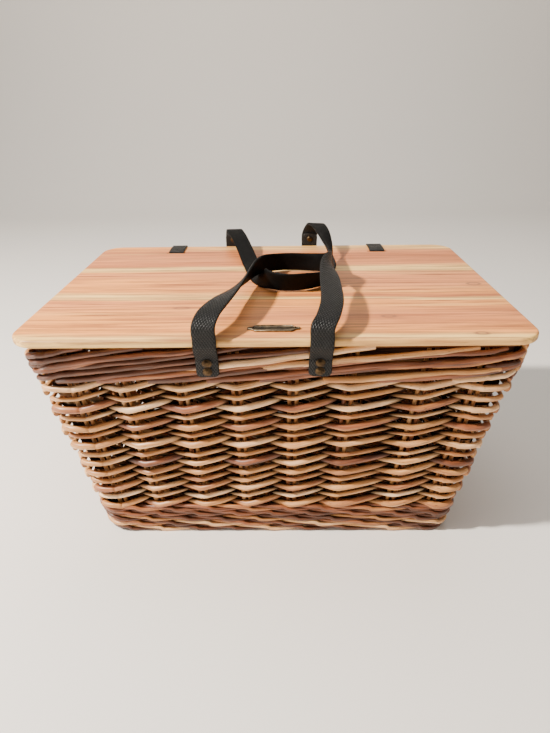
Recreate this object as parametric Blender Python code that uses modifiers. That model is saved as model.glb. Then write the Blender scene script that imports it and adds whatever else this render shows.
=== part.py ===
"""Woven willow basket with a flat wooden lid and two leather carrying handles.

Units are metres, +Z is up, the front wall faces -Y. The origin is on the floor,
under the middle of the base.
"""

import math

import bmesh
import bpy
from mathutils import Matrix, Vector

# Lid
LID_WIDTH = 0.450
LID_DEPTH = 0.312
LID_THICKNESS = 0.0072
LID_CORNER_RADIUS = 0.024
LID_EDGE_ROUNDING = 0.0022
LID_SLOT_X = 0.128
LID_SLOT_INSET = 0.033
LID_SLOT_LENGTH = 0.025
LID_SLOT_WIDTH = 0.004
LID_OVERHANG_SIDE = 0.002
LID_OVERHANG_FRONT = 0.003

# Name plate, left bare
PLATE_LENGTH = 0.046
PLATE_WIDTH = 0.013
PLATE_THICKNESS = 0.0012
PLATE_INSET = 0.023
PLATE_PIN_RADIUS = 0.0011
PLATE_PIN_INSET_SHARE = 0.36
PIN_NECK_SHARE = 0.6

# Woven walls
BASKET_HEIGHT = 0.2365
BASE_WIDTH = 0.370
BASE_DEPTH = 0.230
RIM_CORNER_RADIUS = 0.022
BASE_CORNER_RADIUS = 0.012
FRONT_COLUMN_SHARES = (-1.0, -0.76, -0.465, -0.19, 0.093, 0.372, 0.735, 1.0)
BACK_COLUMNS = 8
SIDE_COLUMNS = 5
COLUMN_INSET = 0.006
STAKE_RADIUS = 0.002
STAKE_PAIR_SPACING = 0.0052
WEAVER_RADIUS = 0.0030
WEAVER_GAP = 0.0006
WEAVER_COURSES = 5
WEAVER_SLOPE_SHARE = 0.3
WEAVER_CORNER_STEPS = 2
RIM_ROD_RADIUS = 0.0027
TOP_ROD_RADIUS = 0.0032
RIM_ROD_TURNS = 3
RIM_ROD_SINK = 0.0025

# Base
BATTEN_HEIGHT = 0.012
BATTEN_THICKNESS = 0.008
FOOT_ROD_RADIUS = 0.0024
FOOT_ROD_TURNS = 4
BASE_STICKS = 5
BASE_STICK_RADIUS = 0.0025
BASE_ROD_RADIUS = 0.0036
BASE_LIFT = 0.0004

# Leather
STRAP_WIDTH = 0.020
STRAP_THICKNESS = 0.0026
STRAP_TAIL = 0.0015
LINING_THICKNESS = 0.0020
LINING_RISE = 0.016
HANDLE_CENTRE_X = -0.009
HANDLE_SPAN = 0.096
LOOP_WIDTH = 0.019
LOOP_THICKNESS = 0.0015

# Rivets
RIVET_SHANK_RADIUS = 0.0012
RIVET_CAP_RADIUS = 0.0042
RIVET_CAP_HEIGHT = 0.0018
RIVET_CROWN_SHARES = (0.6, 0.8)
RIVET_WASHER_RADIUS = 0.0040
RIVET_WASHER_THICKNESS = 0.0010

# Clearance between touching pieces, and the overrun of cutters
CLEARANCE = 0.0003
OVERRUN = 0.004

# Sizes that follow from the ones above
LID_BOTTOM = BASKET_HEIGHT + CLEARANCE
LID_TOP = LID_BOTTOM + LID_THICKNESS
WEAVER_SEAT = STAKE_RADIUS + CLEARANCE + WEAVER_RADIUS
WEAVER_REACH = (WEAVER_SEAT * math.hypot(1, WEAVER_SLOPE_SHARE)
                + STAKE_PAIR_SPACING / 2 * WEAVER_SLOPE_SHARE)
WALL_HALF_THICKNESS = WEAVER_REACH + WEAVER_RADIUS
RIM_HALF_WIDTH = LID_WIDTH / 2 - LID_OVERHANG_SIDE - WALL_HALF_THICKNESS
RIM_HALF_DEPTH = LID_DEPTH / 2 - LID_OVERHANG_FRONT - WALL_HALF_THICKNESS
BASE_HALF_WIDTH = BASE_WIDTH / 2 - WALL_HALF_THICKNESS
BASE_HALF_DEPTH = BASE_DEPTH / 2 - WALL_HALF_THICKNESS
WEAVER_LEVEL = 2 * WEAVER_RADIUS + WEAVER_GAP

BATTEN_FACE = BATTEN_THICKNESS / 2 + CLEARANCE
BASE_ROD_REACH = (BASE_STICK_RADIUS + CLEARANCE + BASE_ROD_RADIUS) * math.hypot(
    1, WEAVER_SLOPE_SHARE)
BASE_LEVEL = BASE_LIFT + BASE_ROD_REACH + BASE_ROD_RADIUS
FOOT_ROD_PITCH = 2 * FOOT_ROD_RADIUS + CLEARANCE
WEAVE_BOTTOM = WEAVER_GAP + WEAVER_RADIUS + max(
    FOOT_ROD_TURNS * FOOT_ROD_PITCH, BASE_LEVEL + BASE_ROD_REACH + BASE_ROD_RADIUS)

WALL_LEAN = math.atan2(RIM_HALF_DEPTH - BASE_HALF_DEPTH, BASKET_HEIGHT)
RIM_ROD_OFFSET = STAKE_RADIUS + CLEARANCE + RIM_ROD_RADIUS
RIM_ROD_DROP = RIM_ROD_OFFSET * math.sin(WALL_LEAN)
RIM_ROD_PITCH = 2 * (RIM_ROD_RADIUS + RIVET_SHANK_RADIUS + CLEARANCE)
TOP_ROD_Z = BASKET_HEIGHT - TOP_ROD_RADIUS
STAKE_TOP = TOP_ROD_Z - TOP_ROD_RADIUS - CLEARANCE
RIM_ROD_TOP_Z = TOP_ROD_Z - RIM_ROD_DROP - RIM_ROD_SINK - math.sqrt(
    (TOP_ROD_RADIUS + RIM_ROD_RADIUS + CLEARANCE) ** 2 - RIM_ROD_OFFSET ** 2)
RIM_ROD_BOTTOM_Z = RIM_ROD_TOP_Z - (RIM_ROD_TURNS - 1) * RIM_ROD_PITCH
LOOP_UNDER_Z = RIM_ROD_TOP_Z - RIM_ROD_RADIUS - CLEARANCE - LOOP_THICKNESS / 2
SHORT_STAKE_TOP = LOOP_UNDER_Z - LOOP_THICKNESS - CLEARANCE
WEAVE_TOP = RIM_ROD_BOTTOM_Z - RIM_ROD_DROP - RIM_ROD_RADIUS - WEAVER_GAP - WEAVER_RADIUS
WEAVER_TURNS = int((WEAVE_TOP - WEAVE_BOTTOM) / (2 * WEAVER_LEVEL))

STRAP_OFFSET = RIM_ROD_OFFSET + RIM_ROD_RADIUS + CLEARANCE + STRAP_THICKNESS / 2
LINING_OFFSET = RIM_ROD_OFFSET + RIM_ROD_RADIUS + CLEARANCE + LINING_THICKNESS / 2
STRAP_OVER_LINING = LINING_THICKNESS + 2 * CLEARANCE
RIVET_HEIGHTS = (RIM_ROD_TOP_Z - RIM_ROD_PITCH / 2, RIM_ROD_TOP_Z - 1.5 * RIM_ROD_PITCH)
STRAP_END_Z = RIVET_HEIGHTS[1] - RIVET_CAP_RADIUS - STRAP_TAIL

HINGE_Y = LID_DEPTH / 2
HINGE_Z = LID_BOTTOM
SWING_Z = RIVET_HEIGHTS[0] + RIVET_CAP_RADIUS + CLEARANCE

# Where the front handle lies, from its left end to its right end: across as a share of
# half the span, back as a share of half the lid, up from the lid as a share of the
# strap's width, the heading in degrees and the turn of the strap from flat to on edge.
FRONT_LIE_SHARES = (
    (-1.00, -0.990, 0.62, 90, 0), (-0.97, -0.930, 0.98, 88, 0),
    (-0.90, -0.760, 1.14, 84, 0), (-0.71, -0.470, 1.08, 75, 6),
    (-0.50, -0.210, 1.02, 66, 20), (-0.31, 0.000, 0.95, 60, 44),
    (-0.06, 0.150, 0.76, 42, 66), (0.29, 0.240, 0.57, 12, 84),
    (0.64, 0.256, 0.55, 0, 84), (0.94, 0.235, 0.68, -24, 76),
    (1.14, 0.180, 1.05, -50, 55), (1.23, 0.110, 1.30, -72, 32),
    (1.26, 0.020, 1.38, -84, 18), (1.27, -0.150, 1.34, -93, 8),
    (1.25, -0.370, 1.24, -96, 2), (1.18, -0.640, 1.14, -98, 0),
    (1.06, -0.880, 0.98, -96, 0), (1.01, -0.990, 0.58, -91, 0))

# The same for the back handle, whose legs stand behind the lid and fold forward.
BACK_LIE_SHARES = (
    (-1.00, 1.030, 0.62, -90, 0), (-0.98, 1.010, 0.98, -90, 0),
    (-0.93, 0.950, 1.10, -86, 0), (-0.83, 0.830, 0.92, -82, 0),
    (-0.68, 0.620, 0.50, -80, 0), (-0.52, 0.380, 0.18, -78, 0),
    (-0.40, 0.170, 0.12, -76, 3), (-0.32, 0.020, 0.25, -70, 17),
    (-0.20, -0.100, 0.47, -54, 50), (0.03, -0.165, 0.55, -22, 80),
    (0.38, -0.190, 0.55, 0, 86), (0.80, -0.180, 0.55, 14, 86),
    (1.16, -0.110, 0.55, 42, 86), (1.38, 0.010, 0.55, 68, 85),
    (1.49, 0.160, 0.56, 84, 84), (1.52, 0.340, 0.66, 92, 74),
    (1.48, 0.540, 0.94, 95, 46), (1.38, 0.740, 1.26, 96, 18),
    (1.20, 0.920, 1.42, 94, 4), (1.08, 1.005, 1.20, 91, 0),
    (1.04, 1.030, 0.62, 90, 0))

# Beyond this share of half the lid, a handle has left the lid and runs beside its edge.
LID_EDGE_SHARE = 0.98

CORNER_STEPS = 3
SMOOTH_ANGLE = math.radians(40)


def new_collection(name):
    """Adds a collection to the scene."""
    collection = bpy.data.collections.new(name)
    bpy.context.scene.collection.children.link(collection)
    return collection


def new_material(name, colour, roughness, metallic=0.0):
    """A Principled BSDF with the piece's colour, roughness and metallic value."""
    material = bpy.data.materials.new(name)
    material.use_nodes = True
    shader = material.node_tree.nodes["Principled BSDF"]
    shader.inputs["Base Color"].default_value = (*colour, 1.0)
    shader.inputs["Roughness"].default_value = roughness
    shader.inputs["Metallic"].default_value = metallic
    material.diffuse_color = (*colour, 1.0)
    return material


def add_mesh_object(name, bm, material, collection):
    """Turns a bmesh into a named object of a collection, shaded smooth."""
    mesh = bpy.data.meshes.new(name)
    bm.to_mesh(mesh)
    bm.free()
    mesh.shade_smooth()
    mesh.set_sharp_from_angle(angle=SMOOTH_ANGLE)
    obj = bpy.data.objects.new(name, mesh)
    obj.data.materials.append(material)
    collection.objects.link(obj)
    return obj


def add_rod(name, points, radius, sides_level, material, collection, cyclic=False):
    """A willow rod: a poly curve with a round bevel and filled caps, as a closed mesh."""
    curve = bpy.data.curves.new(name, "CURVE")
    curve.dimensions = "3D"
    curve.twist_mode = "Z_UP"
    curve.bevel_depth = radius
    curve.bevel_resolution = sides_level
    curve.use_fill_caps = not cyclic
    spline = curve.splines.new("POLY")
    spline.points.add(len(points) - 1)
    for point, place in zip(spline.points, points):
        point.co = (*place, 1.0)
    spline.use_cyclic_u = cyclic
    return curve_to_mesh_object(name, curve, material, collection)


def curve_to_mesh_object(name, curve, material, collection):
    """The curve's evaluated mesh with its caps welded on, as the named object."""
    guide = bpy.data.objects.new(name + "_curve", curve)
    collection.objects.link(guide)
    bpy.context.view_layer.update()
    evaluated = guide.evaluated_get(bpy.context.evaluated_depsgraph_get())
    mesh = bpy.data.meshes.new_from_object(evaluated)
    bpy.data.objects.remove(guide)
    bm = bmesh.new()
    bm.from_mesh(mesh)
    bpy.data.meshes.remove(mesh)
    bmesh.ops.remove_doubles(bm, verts=bm.verts, dist=CLEARANCE / 10)
    bmesh.ops.recalc_face_normals(bm, faces=bm.faces)
    return add_mesh_object(name, bm, material, collection)


def add_outline(name, splines, thickness, middle_z, material, collection):
    """A flat outline in XY, with any holes, thickened evenly about middle_z."""
    curve = bpy.data.curves.new(name, "CURVE")
    curve.dimensions = "2D"
    curve.fill_mode = "BOTH"
    curve.extrude = thickness / 2
    for outline in splines:
        spline = curve.splines.new("POLY")
        spline.points.add(len(outline) - 1)
        for point, (x, y) in zip(spline.points, outline):
            point.co = (x, y, 0, 1.0)
        spline.use_cyclic_u = True
    obj = curve_to_mesh_object(name, curve, material, collection)
    obj.data.transform(Matrix.Translation((0, 0, middle_z)))
    return obj


def rounded_rectangle(half_width, half_depth, radius, corner_points):
    """Points of a rounded rectangle about the origin, counterclockwise."""
    points = []
    for corner in range(4):
        side_x = 1 if corner in (0, 3) else -1
        side_y = 1 if corner in (0, 1) else -1
        centre_x = side_x * (half_width - radius)
        centre_y = side_y * (half_depth - radius)
        for step in range(corner_points):
            angle = math.pi / 2 * (corner + step / (corner_points - 1))
            points.append((centre_x + radius * math.cos(angle),
                           centre_y + radius * math.sin(angle)))
    return points


def add_boolean(obj, cutter, operation):
    """Adds a Boolean modifier with an object that is only drawn as wires."""
    cutter.hide_render = True
    cutter.display_type = "WIRE"
    modifier = obj.modifiers.new("Join" if operation == "UNION" else "Cut", "BOOLEAN")
    modifier.operation = operation
    modifier.solver = "EXACT"
    modifier.object = cutter


def between(low, high, z):
    """A size of the wall at height z, which changes evenly from floor to rim."""
    return low + (high - low) * z / BASKET_HEIGHT


def half_width(z):
    return between(BASE_HALF_WIDTH, RIM_HALF_WIDTH, z)


def half_depth(z):
    return between(BASE_HALF_DEPTH, RIM_HALF_DEPTH, z)


def corner_radius(z):
    return between(BASE_CORNER_RADIUS, RIM_CORNER_RADIUS, z)


def column_shares(wall):
    """Places of a wall's stake columns, from -1 to 1."""
    if wall == 0:
        return FRONT_COLUMN_SHARES
    count = BACK_COLUMNS if wall == 2 else SIDE_COLUMNS
    return [2 * index / (count - 1) - 1 for index in range(count)]


def wall_stations():
    """One turn round the wall: stake columns and, between walls, points of a corner.

    A station is (wall, share, is_corner, sway): the wall's number, where it lies along
    the wall or round the corner after it, and where a weaver runs there, from 1 outside
    one column of stakes to -1 inside the next.
    """
    stations = []
    column = 0
    for wall in range(4):
        for share in column_shares(wall):
            sway = (-1) ** column
            stations.append((wall, share, False, sway))
            column += 1
        for step in range(WEAVER_CORNER_STEPS):
            share = (step + 0.5) / WEAVER_CORNER_STEPS
            stations.append((wall, share, True, sway * (1 - 2 * share)))
    return stations


def wall_place(wall, share, is_corner, z, offset):
    """A point of a wall, or of the corner after it, at height z, moved out by offset."""
    radius = corner_radius(z)
    if wall % 2 == 0:
        run, reach = half_width(z) - radius, half_depth(z)
        side_run = half_depth(z) - radius
    else:
        run, reach = half_depth(z) - radius, half_width(z)
        side_run = half_width(z) - radius
    if is_corner:
        angle = share * math.pi / 2
        along = run + (radius + offset) * math.sin(angle)
        out = side_run + (radius + offset) * math.cos(angle)
    else:
        along = share * (run - COLUMN_INSET)
        out = reach + offset
    turn = wall * math.pi / 2
    x = along * math.cos(turn) + out * math.sin(turn)
    y = along * math.sin(turn) - out * math.cos(turn)
    return x, y, z


def add_stake_walls(collection, cutters, willow):
    """Four base battens, each with its wall's stakes standing in pairs along it."""
    names = ("stakes_front", "stakes_right", "stakes_back", "stakes_left")
    for wall, name in enumerate(names):
        batten = add_batten(name, wall, collection, willow)
        bm = bmesh.new()
        for share in column_shares(wall):
            low = Vector(wall_place(wall, share, False, BATTEN_HEIGHT / 2, 0))
            high = Vector(wall_place(wall, share, False, STAKE_TOP, 0))
            is_under_loop = wall == 2 and min(
                abs(high.x - LID_SLOT_X), abs(high.x + LID_SLOT_X)) < (
                    LOOP_WIDTH / 2 + STAKE_PAIR_SPACING)
            top = SHORT_STAKE_TOP if is_under_loop else STAKE_TOP
            high = low + (high - low) * (top - low.z) / (high.z - low.z)
            along = Matrix.Rotation(wall * math.pi / 2, 3, "Z") @ Vector((1, 0, 0))
            for side in (-1, 1):
                shift = along * side * STAKE_PAIR_SPACING / 2
                add_cylinder(bm, low + shift, high + shift, STAKE_RADIUS, 6)
        rods = add_mesh_object(name + "_rods", bm, willow, cutters)
        add_boolean(batten, rods, "UNION")


def add_batten(name, wall, collection, willow):
    """A flat strip of the base frame, as long as the straight part of its wall."""
    z = BATTEN_HEIGHT / 2
    before = (wall + 3) % 4
    outline = []
    for offset in (BATTEN_THICKNESS / 2, -BATTEN_THICKNESS / 2):
        row = [wall_place(before, 1, True, z, offset), wall_place(wall, 0, True, z, offset)]
        outline += row if offset > 0 else row[::-1]
    return add_outline(name, [[(x, y) for x, y, _ in outline]], BATTEN_HEIGHT, z,
                       willow, collection)


def add_cylinder(bm, low, high, radius, sides):
    """A straight round rod from low to high."""
    axis = high - low
    turn = axis.to_track_quat("Z", "Y").to_matrix().to_4x4()
    place = Matrix.Translation((low + high) / 2) @ turn
    bmesh.ops.create_cone(bm, cap_ends=True, segments=sides, radius1=radius,
                          radius2=radius, depth=axis.length, matrix=place)


def add_weavers(collection, willow):
    """Two rods that chase each other round the wall, course above course.

    Each rod climbs evenly and passes in front of one column of stakes and behind the
    next. The second rod lies half a climb higher and does the opposite.
    """
    stations = wall_stations()
    climb = 2 * WEAVER_LEVEL
    first = 0
    for course in range(WEAVER_COURSES):
        last = round(WEAVER_TURNS * (course + 1) / WEAVER_COURSES) * len(stations)
        for letter, phase, lift in (("a", 1, 0), ("b", -1, WEAVER_LEVEL)):
            points = []
            for count in range(first, last - 1):
                *place, sway = stations[count % len(stations)]
                z = WEAVE_BOTTOM + lift + climb * count / len(stations)
                points.append(wall_place(*place, z, phase * sway * WEAVER_REACH))
            add_rod(f"weaver_course_{course + 1}_{letter}", points, WEAVER_RADIUS, 0,
                    willow, collection)
        first = last


def ring_points(wall_z, z, offset):
    """A plain ring at height z, outside or inside the wall as it is at wall_z."""
    places = []
    for wall in range(4):
        for step in range(CORNER_STEPS + 1):
            x, y, _ = wall_place(wall, step / CORNER_STEPS, True, wall_z, offset)
            places.append((x, y, z))
    return places


def add_rings(collection, willow):
    """Rods that run round outside or inside the stakes: the foot and the rim."""
    for count in range(FOOT_ROD_TURNS):
        z = CLEARANCE + FOOT_ROD_RADIUS + count * FOOT_ROD_PITCH
        is_on_batten = z - FOOT_ROD_RADIUS < BATTEN_HEIGHT + CLEARANCE
        seat = BATTEN_FACE if is_on_batten else STAKE_RADIUS + CLEARANCE
        wall_z = BATTEN_HEIGHT / 2 if is_on_batten else z
        ring = ring_points(wall_z, z, seat + FOOT_ROD_RADIUS)
        add_rod(f"foot_rod_{count + 1}", ring, FOOT_ROD_RADIUS, 1, willow, collection,
                cyclic=True)
    for count in range(RIM_ROD_TURNS):
        z = RIM_ROD_TOP_Z - count * RIM_ROD_PITCH
        for name, side in (("outer", 1), ("inner", -1)):
            z_there = z - side * RIM_ROD_DROP
            ring = ring_points(z_there, z_there, side * RIM_ROD_OFFSET)
            add_rod(f"rim_rod_{name}_{count + 1}", ring, RIM_ROD_RADIUS, 1,
                    willow, collection, cyclic=True)
    add_rod("rim_top_rod", ring_points(TOP_ROD_Z, TOP_ROD_Z, 0), TOP_ROD_RADIUS, 1,
            willow, collection, cyclic=True)


def add_base(collection, willow):
    """Base sticks from batten to batten, and one rod woven to and fro across them."""
    reach_y = half_depth(BATTEN_HEIGHT / 2) - BATTEN_FACE
    span_x = half_width(0) - corner_radius(0)
    stick_step = 2 * span_x / BASE_STICKS
    for index in range(BASE_STICKS):
        x = (index - (BASE_STICKS - 1) / 2) * stick_step
        bm = bmesh.new()
        add_cylinder(bm, Vector((x, -reach_y, BASE_LEVEL)),
                     Vector((x, reach_y, BASE_LEVEL)), BASE_STICK_RADIUS, 8)
        add_mesh_object(f"base_stick_{index + 1}", bm, willow, collection)
    room = 2 * (half_depth(0) - BATTEN_FACE - BASE_ROD_RADIUS)
    rows = int(room / (2 * BASE_ROD_RADIUS + WEAVER_GAP)) + 1
    points = []
    for row in range(rows):
        y = room * (row / (rows - 1) - 0.5)
        side = (-1) ** row
        stops = [-span_x]
        stops += [(k - (BASE_STICKS - 1) / 2) * stick_step for k in range(BASE_STICKS)]
        stops += [span_x]
        for stop, x in enumerate(stops):
            place = stop if side > 0 else len(stops) - 1 - stop
            is_end = stop in (0, len(stops) - 1)
            lift = 0 if is_end else BASE_ROD_REACH * (-1) ** (place + row)
            points.append((x * side, y, BASE_LEVEL + lift))
    add_rod("base_weave", points, BASE_ROD_RADIUS, 0, willow, collection)


def add_lid(collection, wood, cutters):
    """The lid board: rounded corners, rounded edges and two slots for the hinges."""
    outline = rounded_rectangle(LID_WIDTH / 2, LID_DEPTH / 2, LID_CORNER_RADIUS, 9)
    slot_y = LID_DEPTH / 2 - LID_SLOT_INSET
    middle = (LID_BOTTOM + LID_TOP) / 2
    lid = add_outline("lid_board", [outline], LID_THICKNESS, middle, wood, collection)
    bevel = lid.modifiers.new("Rounded edges", "BEVEL")
    bevel.width = LID_EDGE_ROUNDING
    bevel.segments = 2
    bevel.use_clamp_overlap = False
    bevel.limit_method = "ANGLE"
    bevel.angle_limit = SMOOTH_ANGLE
    for side, name in ((-1, "left"), (1, "right")):
        slot = rounded_rectangle(LID_SLOT_LENGTH / 2, LID_SLOT_WIDTH / 2,
                                 LID_SLOT_WIDTH / 2 - CLEARANCE, 4)
        slot = [(x + side * LID_SLOT_X, y + slot_y) for x, y in slot]
        cutter = add_outline(f"lid_slot_{name}", [slot], LID_THICKNESS + 2 * OVERRUN,
                             middle, wood, cutters)
        add_boolean(lid, cutter, "DIFFERENCE")
    return lid


def plate_outline(length, width):
    """A plate with cut corners and a pointed ear at each end."""
    ear = width / 2
    neck = width / 4
    half = length / 2
    shares = ((half - ear, width / 2), (half - ear / 2, neck), (half, 0),
              (half - ear / 2, -neck), (half - ear, -width / 2))
    points = list(shares)
    points += [(-x, -y) for x, y in shares]
    return points[::-1]


def add_plate(collection, brass):
    """The small metal plate near the front edge of the lid, left bare, with two pins."""
    y = PLATE_INSET - LID_DEPTH / 2
    bottom = LID_TOP + CLEARANCE
    hole_x = PLATE_LENGTH / 2 - PLATE_WIDTH * PLATE_PIN_INSET_SHARE
    neck = PLATE_PIN_RADIUS * PIN_NECK_SHARE
    middle = bottom + PLATE_THICKNESS / 2
    outline = [(px, py + y) for px, py in plate_outline(PLATE_LENGTH, PLATE_WIDTH)]
    holes = []
    for side in (-1, 1):
        radius = neck + CLEARANCE
        hole = rounded_rectangle(radius, radius, radius, 3)
        holes.append([(px + side * hole_x, py + y) for px, py in hole[::-1]])
    add_outline("name_plate", [outline] + holes, PLATE_THICKNESS, middle, brass,
                collection)
    for side, name in ((-1, "left"), (1, "right")):
        top = bottom + PLATE_THICKNESS + CLEARANCE
        profile = ((0, top + PLATE_PIN_RADIUS / 2), (PLATE_PIN_RADIUS, top),
                   (neck, top), (neck, bottom), (0, bottom))
        pin = add_turned(f"plate_pin_{name}", profile, 8, brass, collection)
        pin.location = (side * hole_x, y, 0)


def add_turned(name, profile, steps, material, collection):
    """A turned piece: a profile of (radius, height) points with a Screw modifier."""
    bm = bmesh.new()
    verts = [bm.verts.new((radius, 0, z)) for radius, z in profile]
    for first, second in zip(verts, verts[1:]):
        bm.edges.new((first, second))
    obj = add_mesh_object(name, bm, material, collection)
    screw = obj.modifiers.new("Turn", "SCREW")
    screw.steps = steps
    screw.render_steps = steps
    screw.use_merge_vertices = True
    screw.merge_threshold = CLEARANCE / 10
    screw.use_smooth_shade = True
    return obj


def long_wall_point(side, z, offset):
    """A point in the YZ plane of the front (-1) or back (1) wall, offset outwards."""
    y = half_depth(z) + offset * math.cos(WALL_LEAN)
    return side * y, z - offset * math.sin(WALL_LEAN)


def smooth_stations(stations, steps):
    """Catmull-Rom points through the stations, steps to each span."""
    points = []
    for index in range(len(stations) - 1):
        before = stations[max(index - 1, 0)]
        start, end = stations[index], stations[index + 1]
        after = stations[min(index + 2, len(stations) - 1)]
        for step in range(steps):
            t = step / steps
            points.append([
                0.5 * (2 * b + (c - a) * t + (2 * a - 5 * b + 4 * c - d) * t * t
                       + (3 * b - a - 3 * c + d) * t ** 3)
                for a, b, c, d in zip(before, start, end, after)])
    points.append(list(stations[-1]))
    return points


def leg_stations(side, x, offset, edge, heading):
    """Stations of a leather leg up the wall and past the rear or front of the lid."""
    heights = (STRAP_END_Z, RIVET_HEIGHTS[0], SWING_Z)
    stations = [(x, *long_wall_point(side, z, offset), heading, 0) for z in heights]
    return stations + [(x, side * edge, z, heading, 0) for z in (LID_BOTTOM, LID_TOP)]


def handle_stations(side, lie_shares, extra_offset):
    """Stations (x, y, z, heading, turn) of a handle from its left to its right end."""
    edge = LID_DEPTH / 2 + CLEARANCE + STRAP_THICKNESS / 2 + extra_offset
    lie = []
    for across, back, up, heading, turn in lie_shares:
        y = back * LID_DEPTH / 2
        if abs(back) > LID_EDGE_SHARE:
            y = math.copysign(max(abs(y), edge), y)
        lie.append((HANDLE_CENTRE_X + across * HANDLE_SPAN / 2, y,
                    LID_TOP + up * STRAP_WIDTH, heading, turn))
    offset = STRAP_OFFSET + extra_offset
    left = leg_stations(side, lie[0][0], offset, edge, lie[0][3])
    right = leg_stations(side, lie[-1][0], offset, edge, lie[-1][3])
    return left + lie + right[::-1]


def add_ribbon(name, points, width, thickness, mirrored, material, collection):
    """A strap of even width: a strip of faces carried along the points and thickened.

    The strap's width lies across the heading where it is flat and turns upwards by the
    given angle; on a mirrored strap it turns to the other side.
    """
    last = len(points) - 1
    bm = bmesh.new()
    bmesh.ops.create_grid(bm, x_segments=last, y_segments=1, size=1)
    for vert in bm.verts:
        x, y, z, heading, turn = points[round((vert.co.x + 1) / 2 * last)]
        side = 1 if vert.co.y > 0 else -1
        heading, turn = math.radians(heading), math.radians(turn)
        across = -1 if mirrored else 1
        reach = side * width / 2
        vert.co = (x + across * reach * math.cos(turn) * math.sin(heading),
                   y - across * reach * math.cos(turn) * math.cos(heading),
                   z + reach * math.sin(turn))
    obj = add_mesh_object(name, bm, material, collection)
    solidify = obj.modifiers.new("Thickness", "SOLIDIFY")
    solidify.thickness = thickness
    solidify.offset = 0
    solidify.use_even_offset = True
    return obj


def rivet_x(side):
    """The middles of a handle's two ends, on the left and the right."""
    lie = FRONT_LIE_SHARES if side < 0 else BACK_LIE_SHARES
    return [HANDLE_CENTRE_X + leg[0] * HANDLE_SPAN / 2 for leg in (lie[0], lie[-1])]


def add_handles(collection, cutters, leather, bodies):
    """Both handles: one strap each, pierced for the rivets at both ends."""
    for side, word, lie, extra in ((-1, "front", FRONT_LIE_SHARES, 0),
                                   (1, "back", BACK_LIE_SHARES, STRAP_OVER_LINING)):
        points = smooth_stations(handle_stations(side, lie, extra), 2)
        strap = add_ribbon(f"{word}_handle_strap", points, STRAP_WIDTH, STRAP_THICKNESS,
                           side > 0, leather, collection)
        keep_place(strap, bodies[f"{word}_handle"])
        pieces = [strap]
        if side > 0:
            pieces += add_linings(collection, leather, bodies)
        cutter = add_rivet_holes(word, side, cutters, leather)
        for piece in pieces:
            add_boolean(piece, cutter, "DIFFERENCE")


def add_linings(collection, leather, bodies):
    """A second layer of leather inside each leg of the back handle."""
    linings = []
    edge = LID_DEPTH / 2 + CLEARANCE + LINING_THICKNESS / 2
    for x, name in zip(rivet_x(1), ("left", "right")):
        stations = leg_stations(1, x, LINING_OFFSET, edge, -90)
        stations.append((x, edge, LID_TOP + LINING_RISE, -90, 0))
        points = smooth_stations(stations, 2)
        lining = add_ribbon(f"back_lining_{name}", points, STRAP_WIDTH,
                            LINING_THICKNESS, True, leather, collection)
        keep_place(lining, bodies["back_handle"])
        linings.append(lining)
    return linings


def add_rivet_holes(word, side, cutters, leather):
    """One cutter with a straight rod through the leather at each rivet."""
    bm = bmesh.new()
    for x in rivet_x(side):
        for z in RIVET_HEIGHTS:
            inner = long_wall_point(side, z, 0)
            outer = long_wall_point(side, z, STRAP_OFFSET + STRAP_OVER_LINING + OVERRUN)
            add_cylinder(bm, Vector((x, *inner)), Vector((x, *outer)),
                         RIVET_SHANK_RADIUS + CLEARANCE, 10)
    return add_mesh_object(f"{word}_rivet_holes", bm, leather, cutters)


def add_rivets(collection, brass):
    """Domed rivets through the strap ends and the rim, each with its washer inside."""
    washer = -RIM_ROD_OFFSET - RIM_ROD_RADIUS - CLEARANCE
    crown_radius, crown_height = RIVET_CROWN_SHARES
    for side, word, extra in ((-1, "front", 0), (1, "back", STRAP_OVER_LINING)):
        cap = STRAP_OFFSET + STRAP_THICKNESS / 2 + CLEARANCE + extra
        profile = ((0, cap + RIVET_CAP_HEIGHT),
                   (RIVET_CAP_RADIUS * crown_radius,
                    cap + RIVET_CAP_HEIGHT * crown_height),
                   (RIVET_CAP_RADIUS, cap), (RIVET_SHANK_RADIUS, cap),
                   (RIVET_SHANK_RADIUS, washer), (RIVET_WASHER_RADIUS, washer),
                   (RIVET_WASHER_RADIUS, washer - RIVET_WASHER_THICKNESS),
                   (0, washer - RIVET_WASHER_THICKNESS))
        for x, end in zip(rivet_x(side), ("left", "right")):
            for z, level in zip(RIVET_HEIGHTS, ("upper", "lower")):
                rivet = add_turned(f"{word}_rivet_{end}_{level}", profile, 8, brass,
                                   collection)
                rivet.location = (x, side * half_depth(z), z)
                rivet.rotation_euler = (-side * (math.pi / 2 + WALL_LEAN), 0, 0)


def loop_path():
    """The hinge loop in the YZ plane: through the slot, round the lid and the rim."""
    half = LOOP_THICKNESS / 2
    slot_y = LID_DEPTH / 2 - LID_SLOT_INSET
    over = LID_TOP + CLEARANCE + half
    behind = LID_DEPTH / 2 + CLEARANCE + half
    beside = RIM_ROD_OFFSET + RIM_ROD_RADIUS + CLEARANCE + half
    turn = LOOP_THICKNESS
    return ((slot_y, LID_BOTTOM), (slot_y, over - turn), (slot_y + turn, over),
            (behind - turn, over), (behind, over - turn), (behind, LID_BOTTOM),
            long_wall_point(1, RIM_ROD_TOP_Z, beside),
            long_wall_point(1, LOOP_UNDER_Z, beside - turn),
            long_wall_point(1, LOOP_UNDER_Z, turn - beside),
            long_wall_point(1, RIM_ROD_TOP_Z, -beside),
            long_wall_point(1, TOP_ROD_Z, -beside),
            (slot_y + turn, LID_BOTTOM - turn))


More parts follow.
